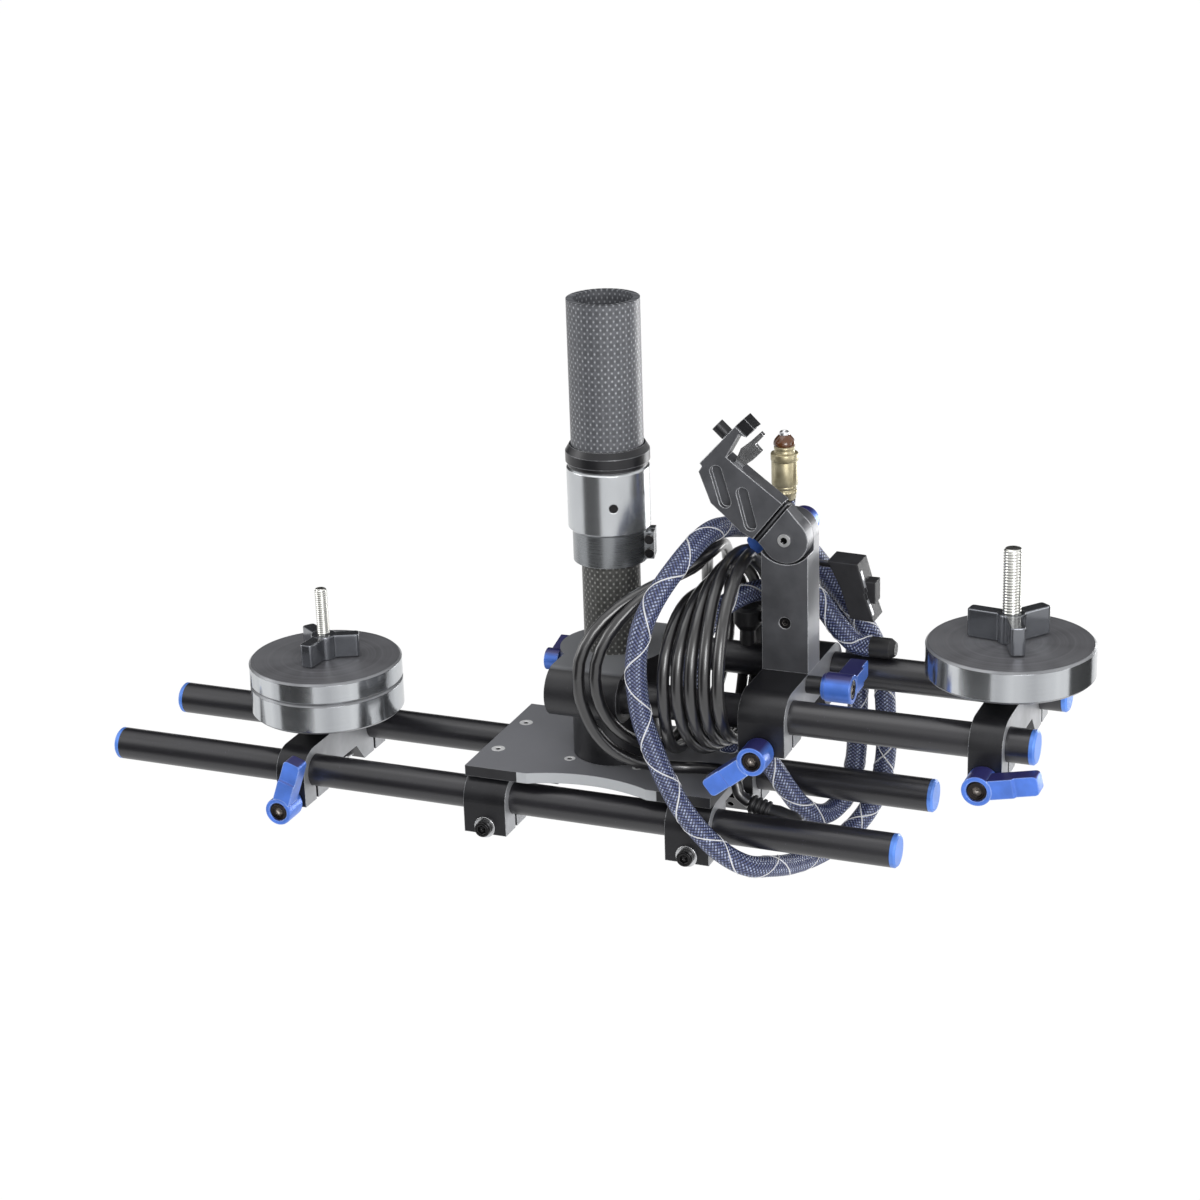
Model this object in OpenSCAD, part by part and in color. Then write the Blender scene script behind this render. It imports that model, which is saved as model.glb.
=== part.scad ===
/* [Post] */
// outside diameter of the upper post tube
post_d = 32; // [31:0.5:33]
// outside diameter of the lower post tube
lower_tube_d = 26; // [25:0.5:26.5]
// height of the post top above the lower rod axes
seat_height = 227; // [220:1:240]
// length of upper tube left bare above the collar
bare_post = 64.7; // [55:0.1:75]

/* [Rods] */
// rod diameter
rod_d = 15; // [14.5:0.5:15]
// distance between the two rod axes of a pair
rod_spacing = 60; // [60:1:62]
// height of the upper rod pair over the lower pair
pair_height = 56; // [54:1:58]
// left end of the lower rods
lower_rod_left = -244.5; // [-260:0.5:-240]
// right end of the lower rods
lower_rod_right = 141.5; // [138:0.5:150]
// right end of the upper rods
upper_rod_right = 200.5; // [198:0.5:210]

/* [Base plate] */
// plate length along the rods
plate_length = 117.5; // [112:0.5:120]
// plate width across the rods
plate_width = 76; // [72:1:80]
// plate thickness
plate_t = 5; // [4:0.5:6]
// width of each rod clamp along the rods
clamp_w = 20.5; // [18:0.5:22]

/* [Carriages] */
// left carriage position
left_x = -147; // [-160:1:-130]
// monitor carriage position
monitor_x = 83.5; // [83:0.5:86]
// right carriage position
right_x = 181; // [170:1:184]
// width of the two weight brackets along the rods
weight_bracket_w = 14.5; // [13:0.5:16]
// width of the monitor bracket along the rods
monitor_bracket_w = 21; // [19:0.5:21.5]

/* [Weights] */
// diameter of the weight discs
disc_d = 72; // [64:1:76]
// thickness of the right disc
right_disc_t = 14.5; // [10:0.5:16]
// thickness of the lower left disc
left_disc_t = 14.5; // [10:0.5:16]
// thickness of the upper left disc
small_disc_t = 10.5; // [8:0.5:12]

/* [Monitor arm] */
// height of the tilt hinge above the upper rod axes
hinge_rise = 71.8; // [68:0.2:74]
// thickness of the arm bar front to back
arm_t = 16; // [15:0.5:16]

/* [Cables] */
// braided cable diameter
braid_d = 9.4; // [9:0.1:9.6]
// black cable diameter
cable_d = 5.4; // [5:0.1:5.4]

/* [Hidden] */
$fn = 64;

rod_r = rod_d / 2;
half_spacing = rod_spacing / 2;
lobe_r = rod_r + 4;
// gap between a carriage bore and its rod
slide_gap = 0.05;
// gap round a shaft that turns in its bore
turn_gap = 0.05;
// gap between pieces that are clamped together
seat_gap = 0.02;
// gap between faces that pass each other
face_gap = 0.3;
lower_r = lower_tube_d / 2;
post_r = post_d / 2;
// upper tube is turned down a little where the collar grips it
gripped_r = post_r - 0.4;
collar_top = seat_height - bare_post;
ring_h = 9.5;
collar_h = 28.9;
collar_r = 18.3;
clamp_h = 14.7;
clamp_r = 16.5;
collar_base = collar_top - ring_h - collar_h;
clamp_base = collar_base - clamp_h;
// jaw underside below a rod axis
jaw_drop = 14.5;
bolt_drop = 11.8;
bolt_r = 2;
slit_w = 2;
plate_top = 16.5;
plate_base = plate_top - plate_t;
neck_r = 19.5;
block_half_x = 17;
block_top = pair_height + lobe_r;
block_base = pair_height - lobe_r;
stud_left_r = 3;
stud_right_r = 4;
hinge_z = pair_height + hinge_rise;
hub_r = 6.5;
hub_l = 13.5;
arm_reach = 21.75;
arm_end_r = 4.25;
tip_r = 1.6;
outer_y = half_spacing + lobe_r;

black = [0.06, 0.06, 0.07];
dark = [0.2, 0.2, 0.22];
silver = [0.66, 0.67, 0.69];
blue = [0.13, 0.24, 0.62];
steel = [0.6, 0.6, 0.6];
carbon = [0.12, 0.12, 0.13];

// everything below the seat is drawn from the plane of the lower rod axes
module deck() translate([0, 0, -seat_height]) children();
module along_x(r, h) rotate([0, 90, 0]) cylinder(r = r, h = h);
module along_y(r, h) rotate([-90, 0, 0]) cylinder(r = r, h = h);

module ring(outer, inner, h) {
  difference() {
    cylinder(r = outer, h = h);
    translate([0, 0, -1]) cylinder(r = inner, h = h + 2);
  }
}

module hex_socket(r, depth) {
  translate([0, 0, -depth]) cylinder(r = r, h = depth + 1, $fn = 6);
}

// lower half of a jaw, slanted on its inner side
module jaw_foot(width, side) {
  inner_y = half_spacing - 11;
  translate([-width / 2, 0, 0]) rotate([90, 0, 90]) linear_extrude(width)
    polygon([
      [side * outer_y, 0],
      [side * outer_y, -jaw_drop],
      [side * inner_y, -jaw_drop],
      [side * (inner_y - 7.5), -5],
      [side * (inner_y - 7.5), 0]
    ]);
}

// bracket that grips both rods of a pair, with the hole for its cross bolt
module pair_bracket(width) {
  difference() {
    union() {
      for (side = [-1, 1]) {
        translate([-width / 2, side * half_spacing, 0]) along_x(lobe_r, width);
        jaw_foot(width, side);
      }
      translate([-width / 2, -half_spacing, -5]) cube([width, rod_spacing, lobe_r + 5]);
    }
    for (side = [-1, 1]) {
      translate([-width / 2 - 1, side * half_spacing, 0]) along_x(rod_r + slide_gap, width + 2);
      translate([-width / 2 - 1, side * half_spacing - slit_w / 2, -jaw_drop - 1])
        cube([width + 2, slit_w, jaw_drop]);
    }
    translate([0, -outer_y - 1, -bolt_drop]) along_y(bolt_r + seat_gap, 2 * outer_y + 2);
  }
}

// cross bolt: stem through all jaws, nut at the rear, short spigot for the lever at the front
module cross_bolt() {
  translate([0, -outer_y - hub_l + 3, -bolt_drop]) along_y(bolt_r, 2 * outer_y + hub_l - 1);
  translate([0, outer_y + seat_gap, -bolt_drop]) along_y(4.6, 4);
}

// clamp lever: hub on the local +Z axis, arm pointing along +X at its far end
module lever_shape(spigot_r) {
  difference() {
    union() {
      cylinder(r = hub_r - 0.6, h = 1.5);
      translate([0, 0, 1.5]) cylinder(r = hub_r, h = hub_l - 1.5);
      translate([0, 0, hub_l - 9]) lever_arm();
    }
    if (spigot_r > 0) translate([0, 0, -1]) cylinder(r = spigot_r + turn_gap, h = hub_l - 2);
    translate([0, 0, hub_l - 1.2]) cylinder(r = 4.4, h = 2);
  }
}

module lever_arm() {
  difference() {
    union() {
      translate([0, -arm_end_r, 0]) cube([arm_reach + arm_end_r - tip_r, 2 * arm_end_r, 9]);
      translate([arm_reach, tip_r - arm_end_r, 0]) cube([arm_end_r, 2 * (arm_end_r - tip_r), 9]);
      for (side = [-1, 1]) translate([arm_reach + arm_end_r - tip_r, side * (arm_end_r - tip_r), 0])
        cylinder(r = tip_r, h = 9, $fn = 32);
    }
    translate([arm_reach - 6.5, -arm_end_r - 1, 7.8]) cube([12, 2 * arm_end_r + 2, 2]);
  }
}

// socket screw seated in the hub face of a lever
module lever_screw() {
  difference() {
    translate([0, 0, hub_l - 1.2 + seat_gap]) cylinder(r = 4.2, h = 1);
    translate([0, 0, hub_l - 0.2]) hex_socket(1.8, 0.7);
  }
}

// lever with its screw, turned by angle, its hub axis pointing to the front
module front_lever(angle, spigot_r) {
  rotate([90, 0, 0]) rotate([0, 0, angle]) {
    lever_shape(spigot_r);
    lever_screw();
  }
}

module disc_shape(thick, hole_r) {
  difference() {
    union() {
      translate([0, 0, 1]) cylinder(r = disc_d / 2, h = thick - 2);
      cylinder(r1 = disc_d / 2 - 1, r2 = disc_d / 2, h = 1);
      translate([0, 0, thick - 1]) cylinder(r1 = disc_d / 2, r2 = disc_d / 2 - 1, h = 1);
    }
    translate([0, 0, -1]) cylinder(r = hole_r, h = thick + 2);
  }
}

// three-wing nut, one wing along local +X
module wing_nut(h, wing_reach, hole_r) {
  difference() {
    union() {
      cylinder(r = wing_hub_r, h = h - 0.6);
      translate([0, 0, h - 0.6]) cylinder(r1 = wing_hub_r, r2 = wing_hub_r - 0.6, h = 0.6);
      for (turn = [0, 120, 240]) rotate([0, 0, turn]) wing(h, wing_reach);
    }
    translate([0, 0, -1]) cylinder(r = hole_r, h = h + 2);
  }
}

// wing with small round corners at its outer end
module wing(h, wing_reach) {
  translate([0, -wing_t / 2, 0.3]) cube([wing_reach - tip_r, wing_t, h - 0.5]);
  translate([wing_reach - 2 * tip_r, tip_r - wing_t / 2, 0.3]) cube([2 * tip_r, wing_t - 2 * tip_r, h - 0.5]);
  for (side = [-1, 1]) translate([wing_reach - tip_r, side * (wing_t / 2 - tip_r), 0.3])
    cylinder(r = tip_r, h = h - 0.5, $fn = 32);
}

module upper_tube() color(carbon) difference() {
  union() {
    translate([0, 0, -bare_post]) cylinder(r = post_r, h = bare_post);
    translate([0, 0, collar_base - seat_height]) cylinder(r = gripped_r, h = ring_h + collar_h + 0.01);
  }
  translate([0, 0, clamp_base - seat_height]) cylinder(r = lower_r + slide_gap, h = 200);
}

module collar_ring() color(black) deck() difference() {
  union() {
    translate([0, 0, collar_top - ring_h + seat_gap]) cylinder(r = collar_r - 0.6, h = 2);
    translate([0, 0, collar_top - ring_h + 2]) cylinder(r = collar_r + 0.3, h = 4.5);
    translate([0, 0, collar_top - 3]) cylinder(r1 = collar_r + 0.3, r2 = post_r + 0.8, h = 3 - seat_gap);
  }
  translate([0, 0, collar_top - ring_h - 1]) cylinder(r = gripped_r + seat_gap, h = ring_h + 2);
}

module post_collar() color(silver) deck() difference() {
  union() {
    translate([0, 0, collar_base + 1]) cylinder(r = collar_r, h = collar_h - 2);
    translate([0, 0, collar_base]) cylinder(r1 = collar_r - 1, r2 = collar_r, h = 1);
    translate([0, 0, collar_base + collar_h - 1]) cylinder(r1 = collar_r, r2 = collar_r - 1, h = 1);
  }
  translate([0, 0, collar_base - 1]) cylinder(r = gripped_r + seat_gap, h = collar_h + 2);
  for (turn = [-62, 203]) rotate([0, 0, turn]) translate([gripped_r, 0, collar_base + 13.5]) along_x(2, 5);
}

module collar_clamp() color(silver) deck() difference() {
  union() {
    translate([0, 0, clamp_base]) cylinder(r = clamp_r, h = clamp_h - seat_gap);
    rotate([0, 0, 14]) translate([clamp_r - 3, -5, clamp_base + 1.2]) cube([6.5, 10, clamp_h - 2.4]);
  }
  translate([0, 0, clamp_base - 1]) cylinder(r = lower_r + slide_gap, h = clamp_h + 2);
  rotate([0, 0, 14]) translate([lower_r - 1, -0.6, clamp_base - 1]) cube([12, 1.2, clamp_h + 2]);
  rotate([0, 0, 14]) for (rise = [4.2, 10.5])
    translate([clamp_r + 1.6, -6, clamp_base + rise]) along_y(1.25, 12);
}

module collar_screws() color(steel) deck() {
  for (turn = [-62, 203]) rotate([0, 0, turn])
    translate([gripped_r + seat_gap, 0, collar_base + 13.5]) along_x(2 - seat_gap, 2.2);
  rotate([0, 0, 14]) for (rise = [4.2, 10.5]) translate([clamp_r + 1.6, 0, clamp_base + rise]) {
    translate([0, -5, 0]) along_y(1.25 - seat_gap, 10);
    translate([0, -6.6, 0]) along_y(2.1, 1.6 - seat_gap);
  }
}

module lower_tube() color(carbon) deck() difference() {
  translate([0, 0, plate_top + seat_gap]) cylinder(r = lower_r, h = 172.5);
  translate([0, 0, plate_top - 1]) cylinder(r = lower_r - 1.5, h = 200);
}

module base_block() color(dark) deck() difference() {
  union() {
    for (side = [-1, 1]) translate([-block_half_x, side * half_spacing, pair_height])
      along_x(lobe_r, 2 * block_half_x);
    translate([-block_half_x, -half_spacing, block_base]) cube([2 * block_half_x, rod_spacing, 2 * lobe_r]);
    translate([0, 0, block_base]) cylinder(r = 24, h = 2 * lobe_r);
  }
  for (side = [-1, 1]) translate([-block_half_x + 3, side * half_spacing, pair_height])
    along_x(rod_r + seat_gap, 2 * block_half_x);
  translate([0, 0, block_base - 1]) cylinder(r = lower_r + seat_gap, h = 2 * lobe_r + 2);
  translate([-26, block_pivot[0], block_pivot[1]]) along_x(2 + turn_gap, 14);
  for (side = [-1, 1]) for (x = [-6, 8]) translate([x, side * half_spacing, block_base - 1]) cylinder(r = 2, h = 6);
}

module block_set_screws() color(black) deck() for (side = [-1, 1]) for (x = [-6, 8])
  translate([x, side * half_spacing, block_base + 0.4]) difference() {
    cylinder(r = 2 - seat_gap, h = 3.4);
    translate([0, 0, -1]) cylinder(r = 1, h = 2, $fn = 6);
  }

// small lever on the left of the block: hub on its pin, arm towards the back
block_pivot = [-3.5, 58.6];
module block_lever() color(blue) deck() translate([-24 - face_gap, block_pivot[0], block_pivot[1]])
  rotate([0, -90, 0]) rotate([0, 0, 76]) {
    difference() {
      union() {
        cylinder(r = 5, h = 6.6);
        translate([0, -2.5, 2]) cube([15, 5, 4]);
        translate([15, 0, 2]) cylinder(r = 2.5, h = 4);
      }
      translate([0, 0, 6.6]) hex_socket(1.6, 1.5);
    }
    translate([0, 0, -10.5]) cylinder(r = 2, h = 10.7);
  }

module swivel_neck() color(dark) deck() difference() {
  union() {
    translate([0, 0, plate_top + seat_gap]) cylinder(r = neck_r, h = 23.4);
    translate([0, 0, plate_top + 23.4]) cylinder(r1 = neck_r, r2 = neck_r - 1.5, h = block_base - plate_top - 23.4 - seat_gap);
  }
  translate([0, 0, plate_top - 1]) cylinder(r = lower_r + seat_gap, h = 40);
}

module neck_ring() color(black) deck() translate([0, 0, plate_base - 3]) difference() {
  cylinder(r = 23, h = 3 - seat_gap);
  translate([0, 0, -1]) cylinder(r = 9, h = 5);
  for (turn = [0, 90, 180, 270]) rotate([0, 0, turn]) translate([16, 0, -1]) cylinder(r = 1.6, h = 2.4);
}

neck_screw_turns = [45, 135, 225, 315];
plate_screw_spots = [[-52, -16], [-52, 16], [52, -16], [52, 16]];

module base_plate() color(dark) deck() difference() {
  translate([-plate_length / 2, -plate_width / 2, plate_base]) cube([plate_length, plate_width, plate_t]);
  for (side = [-1, 1]) translate([0, side * (plate_width / 2 + 59.5), plate_base - 1])
    cylinder(r = 66, h = plate_t + 2, $fn = 96);
  for (spot = plate_screw_spots) translate([spot[0], spot[1], 0]) screw_seat(3.2);
  for (turn = neck_screw_turns) rotate([0, 0, turn]) translate([23.2, 0, 0]) screw_seat(2.6);
}

// countersunk seat cut from the plate's top face
module screw_seat(head_r) {
  translate([0, 0, plate_top - 1.6]) cylinder(r1 = 1.6, r2 = head_r, h = 1.62);
  translate([0, 0, plate_base - 1]) cylinder(r = 1.6, h = plate_t);
}

module plate_screws() color(steel) deck() {
  for (spot = plate_screw_spots) translate([spot[0], spot[1], 0]) plate_screw(3.2);
  for (turn = neck_screw_turns) rotate([0, 0, turn]) translate([23.2, 0, 0]) plate_screw(2.6);
}

module plate_screw(head_r) difference() {
  union() {
    translate([0, 0, plate_top - 1.6 + seat_gap]) cylinder(r1 = 1.6 - 0.04, r2 = head_r - 0.04, h = 1.6);
    translate([0, 0, plate_base]) cylinder(r = 1.6 - 0.04, h = plate_t - 1.5);
  }
  translate([0, 0, plate_top + seat_gap]) hex_socket(1.3, 1);
}

clamp_x = plate_length / 2 - clamp_w / 2;

// foot of a rod clamp: flat top under the plate, split below the rod
module rod_clamp(side) difference() {
  union() {
    translate([-clamp_w / 2, side * half_spacing, 0]) along_x(lobe_r, clamp_w);
    translate([-clamp_w / 2, side > 0 ? 18.5 : -half_spacing, 0]) cube([clamp_w, half_spacing - 18.5, lobe_r]);
    jaw_foot(clamp_w, side);
  }
  translate([-clamp_w / 2 - 1, side * half_spacing, 0]) along_x(rod_r + seat_gap, clamp_w + 2);
  translate([-clamp_w / 2 - 1, side * half_spacing - slit_w / 2, -jaw_drop - 1]) cube([clamp_w + 2, slit_w, jaw_drop]);
  translate([0, side > 0 ? 10 : -44, -11]) along_y(1.6, 34);
  translate([-clamp_w / 2 - 1, side > 0 ? 9 : -18.5, -6]) cube([clamp_w + 2, 9.5, 8]);
}

module rod_clamps_left() color(black) deck() translate([-clamp_x, 0, 0]) clamp_pair();
module rod_clamps_right() color(black) deck() translate([clamp_x, 0, 0]) clamp_pair();

module clamp_pair() {
  for (side = [-1, 1]) rod_clamp(side);
  translate([-clamp_w / 2, -20, plate_base - 4.5]) cube([clamp_w, 40, 4.5 - seat_gap]);
}

module clamp_screws() color(steel) deck() for (x = [-clamp_x, clamp_x]) for (side = [-1, 1])
  translate([x, side * (outer_y + seat_gap), -11]) rotate([side > 0 ? -90 : 90, 0, 0]) {
    translate([0, 0, -22]) cylinder(r = 1.6 - seat_gap, h = 22.5);
    ring(5, 1.5, 0.8);
    difference() {
      translate([0, 0, 0.8]) cylinder(r = 3.6, h = 3.2);
      translate([0, 0, 4]) hex_socket(1.8, 2);
    }
  }

module rod(x0, x1, y, z) translate([x0, y, z]) difference() {
  along_x(rod_r, x1 - x0);
  translate([-1, 0, 0]) along_x(rod_r - 1.5, x1 - x0 + 2);
}

cap_l = 2.5;
module lower_rod_front() color(black) deck() rod(lower_rod_left + cap_l, lower_rod_right - cap_l, -half_spacing, 0);
module lower_rod_rear() color(black) deck() rod(lower_rod_left + cap_l, lower_rod_right - cap_l, half_spacing, 0);
module upper_rod_front() color(black) deck()
  rod(-block_half_x + 3 + seat_gap, upper_rod_right - cap_l, -half_spacing, pair_height);
module upper_rod_rear() color(black) deck()
  rod(-block_half_x + 3 + seat_gap, upper_rod_right - cap_l, half_spacing, pair_height);

// end cap: rim outside the rod, spigot inside it, local +Z outwards
module rod_cap() {
  translate([0, 0, -7]) cylinder(r = rod_r - 1.5 - seat_gap, h = 7.1);
  translate([0, 0, seat_gap]) cylinder(r = rod_r, h = 1.6);
  translate([0, 0, 1.6]) cylinder(r1 = rod_r, r2 = rod_r - 0.9, h = 0.9);
}

module rod_caps() color(blue) deck() for (side = [-1, 1]) {
  translate([lower_rod_right - cap_l, side * half_spacing, 0]) rotate([0, 90, 0]) rod_cap();
  translate([lower_rod_left + cap_l, side * half_spacing, 0]) rotate([0, -90, 0]) rod_cap();
  translate([upper_rod_right - cap_l, side * half_spacing, pair_height]) rotate([0, 90, 0]) rod_cap();
}

boss_h = 8;
// a stud is thinner below its free end
stud_step = 0.5;
wing_hub_r = 6;
wing_t = 6.4;
left_disc_z = lobe_r + boss_h;
left_upper_z = left_disc_z + left_disc_t;
left_nut_z = left_upper_z + small_disc_t;
left_nut_h = 11.5;
right_disc_z = pair_height + lobe_r + boss_h;
right_nut_z = right_disc_z + right_disc_t;
right_nut_h = 13;

module weight_bracket(hole_r) {
  difference() {
    union() {
      pair_bracket(weight_bracket_w);
      translate([0, 0, lobe_r - 1]) cylinder(r = 12, h = boss_h + 1);
    }
    translate([0, 0, -6]) cylinder(r = hole_r, h = 40);
  }
}

module left_bracket() color(dark) deck() translate([left_x, 0, 0]) weight_bracket(stud_left_r - stud_step + seat_gap);
module left_bolt() color(steel) deck() translate([left_x, 0, 0]) cross_bolt();
module left_stud() color(steel) deck() translate([left_x, 0, 0]) {
  translate([0, 0, -4.9]) cylinder(r = stud_left_r - stud_step, h = left_nut_z + left_nut_h + 5);
  translate([0, 0, left_nut_z + left_nut_h]) cylinder(r = stud_left_r, h = 22.7);
}
module left_weight_lower() color(steel) deck() translate([left_x, 0, left_disc_z + seat_gap])
  disc_shape(left_disc_t - 2 * seat_gap, stud_left_r - stud_step + turn_gap);
module left_weight_upper() color(steel) deck() translate([left_x, 0, left_upper_z])
  disc_shape(small_disc_t - seat_gap, stud_left_r - stud_step + turn_gap);
module left_wing_nut() color(black) deck() translate([left_x, 0, left_nut_z + seat_gap]) rotate([0, 0, 25])
  wing_nut(left_nut_h - seat_gap, 16.5, stud_left_r - stud_step + turn_gap);
module left_lever() color(blue) deck() translate([left_x, -outer_y - face_gap, -bolt_drop]) front_lever(71, bolt_r);

module right_bracket() color(dark) deck() translate([right_x, 0, pair_height]) weight_bracket(stud_right_r - stud_step + seat_gap);
module right_bolt() color(steel) deck() translate([right_x, 0, pair_height]) cross_bolt();
module right_stud() color(steel) deck() translate([right_x, 0, 0]) {
  translate([0, 0, pair_height - 4.9]) cylinder(r = stud_right_r - stud_step, h = right_nut_z + right_nut_h - pair_height + 5);
  translate([0, 0, right_nut_z + right_nut_h]) cylinder(r = stud_right_r, h = 28.6);
}
module right_weight() color(steel) deck() translate([right_x, 0, right_disc_z + seat_gap])
  disc_shape(right_disc_t - 2 * seat_gap, stud_right_r - stud_step + turn_gap);
module right_wing_nut() color(black) deck() translate([right_x, 0, right_nut_z + seat_gap]) rotate([0, 0, -67.4])
  wing_nut(right_nut_h - seat_gap, 19, stud_right_r - stud_step + turn_gap);
module right_lever() color(blue) deck() translate([right_x, -outer_y - face_gap, pair_height - bolt_drop])
  front_lever(12, bolt_r);

arm_front = -arm_t / 2;
cheek_back = 0.5;
cheek_r = 10.5;
hinge_head_r = 2.85;
lock_y = -9;
lock_z = pair_height + 7.3;
boss_l = 7;

module monitor_bracket() color(dark) deck() translate([monitor_x, 0, pair_height])
  pair_bracket(monitor_bracket_w);
module monitor_bolt() color(steel) deck() translate([monitor_x, 0, pair_height]) cross_bolt();
module monitor_lever() color(blue) deck() translate([monitor_x, -outer_y - face_gap, pair_height - bolt_drop])
  front_lever(218, bolt_r);

module monitor_arm() color(dark) deck() translate([monitor_x, 0, 0]) difference() {
  union() {
    translate([-monitor_bracket_w / 2, arm_front, block_top + seat_gap])
      cube([monitor_bracket_w, arm_t, hinge_z - block_top]);
    translate([0, arm_front, hinge_z]) along_y(cheek_r, arm_t);
  }
  translate([0, arm_front - 1, hinge_z + 2.4]) along_y(cheek_r + 3, cheek_back - arm_front + 1 + face_gap);
  translate([-40, arm_front - 1, hinge_z]) cube([80, cheek_back - arm_front + 1 + face_gap, 20]);
  translate([0, -20, hinge_z]) along_y(2.5 + seat_gap, 40);
  translate([0, arm_front - 1, 90]) along_y(2.6, 5);
}

module arm_screws() color(steel) deck() translate([monitor_x, arm_front, 90]) rotate([90, 0, 0]) difference() {
  translate([0, 0, -4 + seat_gap]) cylinder(r = 2.6 - seat_gap, h = 3.7);
  translate([0, 0, -0.3]) hex_socket(1.3, 1.4);
}

// boss on the bracket's right face carries the lock lever
module arm_lock_boss() color(black) deck()
  translate([monitor_x + monitor_bracket_w / 2 + seat_gap, lock_y, lock_z]) {
    along_x(4, boss_l);
    along_x(bolt_r, boss_l + 10);
  }

module arm_lock_lever() color(blue) deck()
  translate([monitor_x + monitor_bracket_w / 2 + boss_l + face_gap, lock_y, lock_z])
  rotate([0, 90, 0]) rotate([0, 0, 90]) {
    lever_shape(bolt_r);
    lever_screw();
  }

module hinge_bolt() color(steel) deck() {
  translate([monitor_x, arm_front + 1, hinge_z]) along_y(2.5, arm_t + 9.6);
  translate([monitor_x, arm_front - 0.8, hinge_z]) difference() {
    along_y(hinge_head_r, 1.8);
    rotate([90, 0, 0]) hex_socket(1.6, 1);
  }
}

module tilt_lever() color(blue) deck() translate([monitor_x, arm_t / 2 + face_gap, hinge_z]) rotate([-90, 0, 0])
  rotate([0, 0, 152]) {
    lever_shape(2.5);
    lever_screw();
  }

cheek_depth = cheek_back - arm_front;

module head_knuckle() color(dark) deck() translate([monitor_x, arm_front, hinge_z]) rotate([90, 0, 0])
  translate([0, 0, -cheek_depth]) difference() {
    union() {
      cylinder(r = cheek_r, h = cheek_depth);
      linear_extrude(cheek_depth) polygon([[-11.8, -2.1], [1.3, 14.3], [7.9, 6.7], [0, -9], [-9.2, -5]]);
      rotate([0, 0, head_slant]) translate([-9.2, 7, 0.5]) cube([21, head_offset - 7 - seat_gap, cheek_depth - 1]);
    }
    translate([0, 0, -1]) cylinder(r = 2.5 + turn_gap, h = 20);
    translate([0, 0, cheek_depth - 1.3]) cylinder(r = hinge_head_r + turn_gap, h = 3);
  }

// outline of the head; its first and last points are the ends of the edge that meets the knuckle
head_outline = [
  [-14.2, -0.8], [-19.8, 2], [-26.2, 7.9], [-33.1, 13.7], [-38.4, 27.4], [-36.8, 29.9],
  [-37.9, 31.2], [-21.5, 48.9], [-16.6, 44.4], [-19.9, 45.4], [-25.8, 34.9], [-22.6, 32.3],
  [-0.7, 16.1]
];
head_edge = head_outline[12] - head_outline[0];
head_slant = atan2(head_edge[1], head_edge[0]);
head_offset = (head_outline[0][1] * head_edge[0] - head_outline[0][0] * head_edge[1]) / norm(head_edge);
pocket_r = 2.7;
head_pockets = [[[-30.5, 28.1], [-26.6, 14.8]], [[-18.7, 19.2], [-15.2, 5.5]]];

module tilt_head() color(dark) deck() translate([monitor_x, arm_front, hinge_z]) rotate([90, 0, 0])
  translate([0, 0, -cheek_depth]) difference() {
    linear_extrude(cheek_depth) polygon(head_outline);
    for (ends = head_pockets) pocket(ends);
    translate(knob_at) knob_way() translate([-2, 0, 0]) along_x(1.5 + turn_gap, 2.4);
    translate(guide_at) guide_way() translate([-12, 0, 0]) along_x(1 + turn_gap, 14);
  }

// oblong recess cut from the front face
module pocket(ends) {
  run = ends[1] - ends[0];
  for (end = ends) translate([end[0], end[1], cheek_depth - 2.5]) cylinder(r = pocket_r, h = 4);
  translate([ends[0][0], ends[0][1], cheek_depth - 2.5]) rotate([0, 0, atan2(run[1], run[0])])
    translate([0, 0.02 - pocket_r, 0]) cube([norm(run), 2 * pocket_r - 0.04, 4]);
}

module head_fork() color(steel) deck() translate([monitor_x, -3, hinge_z]) rotate([90, 0, 0]) linear_extrude(2.4)
  polygon([[-22.6, 32.36], [-20, 38.5], [-15.6, 42], [-11, 46.4], [-9.6, 45], [-13.4, 40.8], [-12, 39.2],
    [-10.6, 37.8], [-14.6, 33.8], [-19.6, 30.2]]);

// the knob's screw bears on the guide pin of the sliding jaw
knob_at = [-26.6, 43.8, cheek_depth / 2];
guide_at = [-19.4, 46.9, cheek_depth / 2];
module knob_way() rotate([0, 0, 137.2]) children();
module guide_way() rotate([0, 0, 47.4]) children();

module head_jaw() color(black) deck() translate([monitor_x, arm_front, hinge_z]) rotate([90, 0, 0])
  translate([0, 0, -cheek_depth]) {
    linear_extrude(cheek_depth) polygon([[-21.2, 49.3], [-17.5, 52.8], [-12.8, 48.2], [-16.3, 44.7]]);
    translate(guide_at) guide_way() translate([-8, 0, 0]) along_x(1, 9.5);
  }

module jaw_knob() color(black) deck() translate([monitor_x, arm_front, hinge_z]) rotate([90, 0, 0])
  translate([0, 0, -cheek_depth]) translate(knob_at) knob_way() {
    along_x(3, 6);
    translate([-1, 0, 0]) along_x(1.5, 1.1);
  }

// cables

function unit(v) = v / norm(v);
// smooth curve through the points, steps rings between neighbours
function curve(p, steps) = [
  for (i = [0 : len(p) - 2]) for (s = [0 : steps - 1]) curve_at(p, i, s / steps),
  p[len(p) - 1]
];
function curve_at(p, i, t) =
  let (a = p[max(i - 1, 0)], b = p[i], c = p[i + 1], d = p[min(i + 2, len(p) - 1)])
  0.5 * (2 * b + (c - a) * t + (2 * a - 5 * b + 4 * c - d) * t * t + (3 * b - a - 3 * c + d) * t * t * t);
function heading(p, i) = unit(p[min(i + 1, len(p) - 1)] - p[max(i - 1, 0)]);
function square_to(n, t) = unit(n - (n * t) * t);
// one side direction per ring, carried along the path without twist
function sides(p) = [
  for (i = 0, n = square_to([0.3, 0.2, 1], heading(p, 0)); i < len(p);
    i = i + 1, n = square_to(n, heading(p, min(i, len(p) - 1)))) n
];

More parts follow.
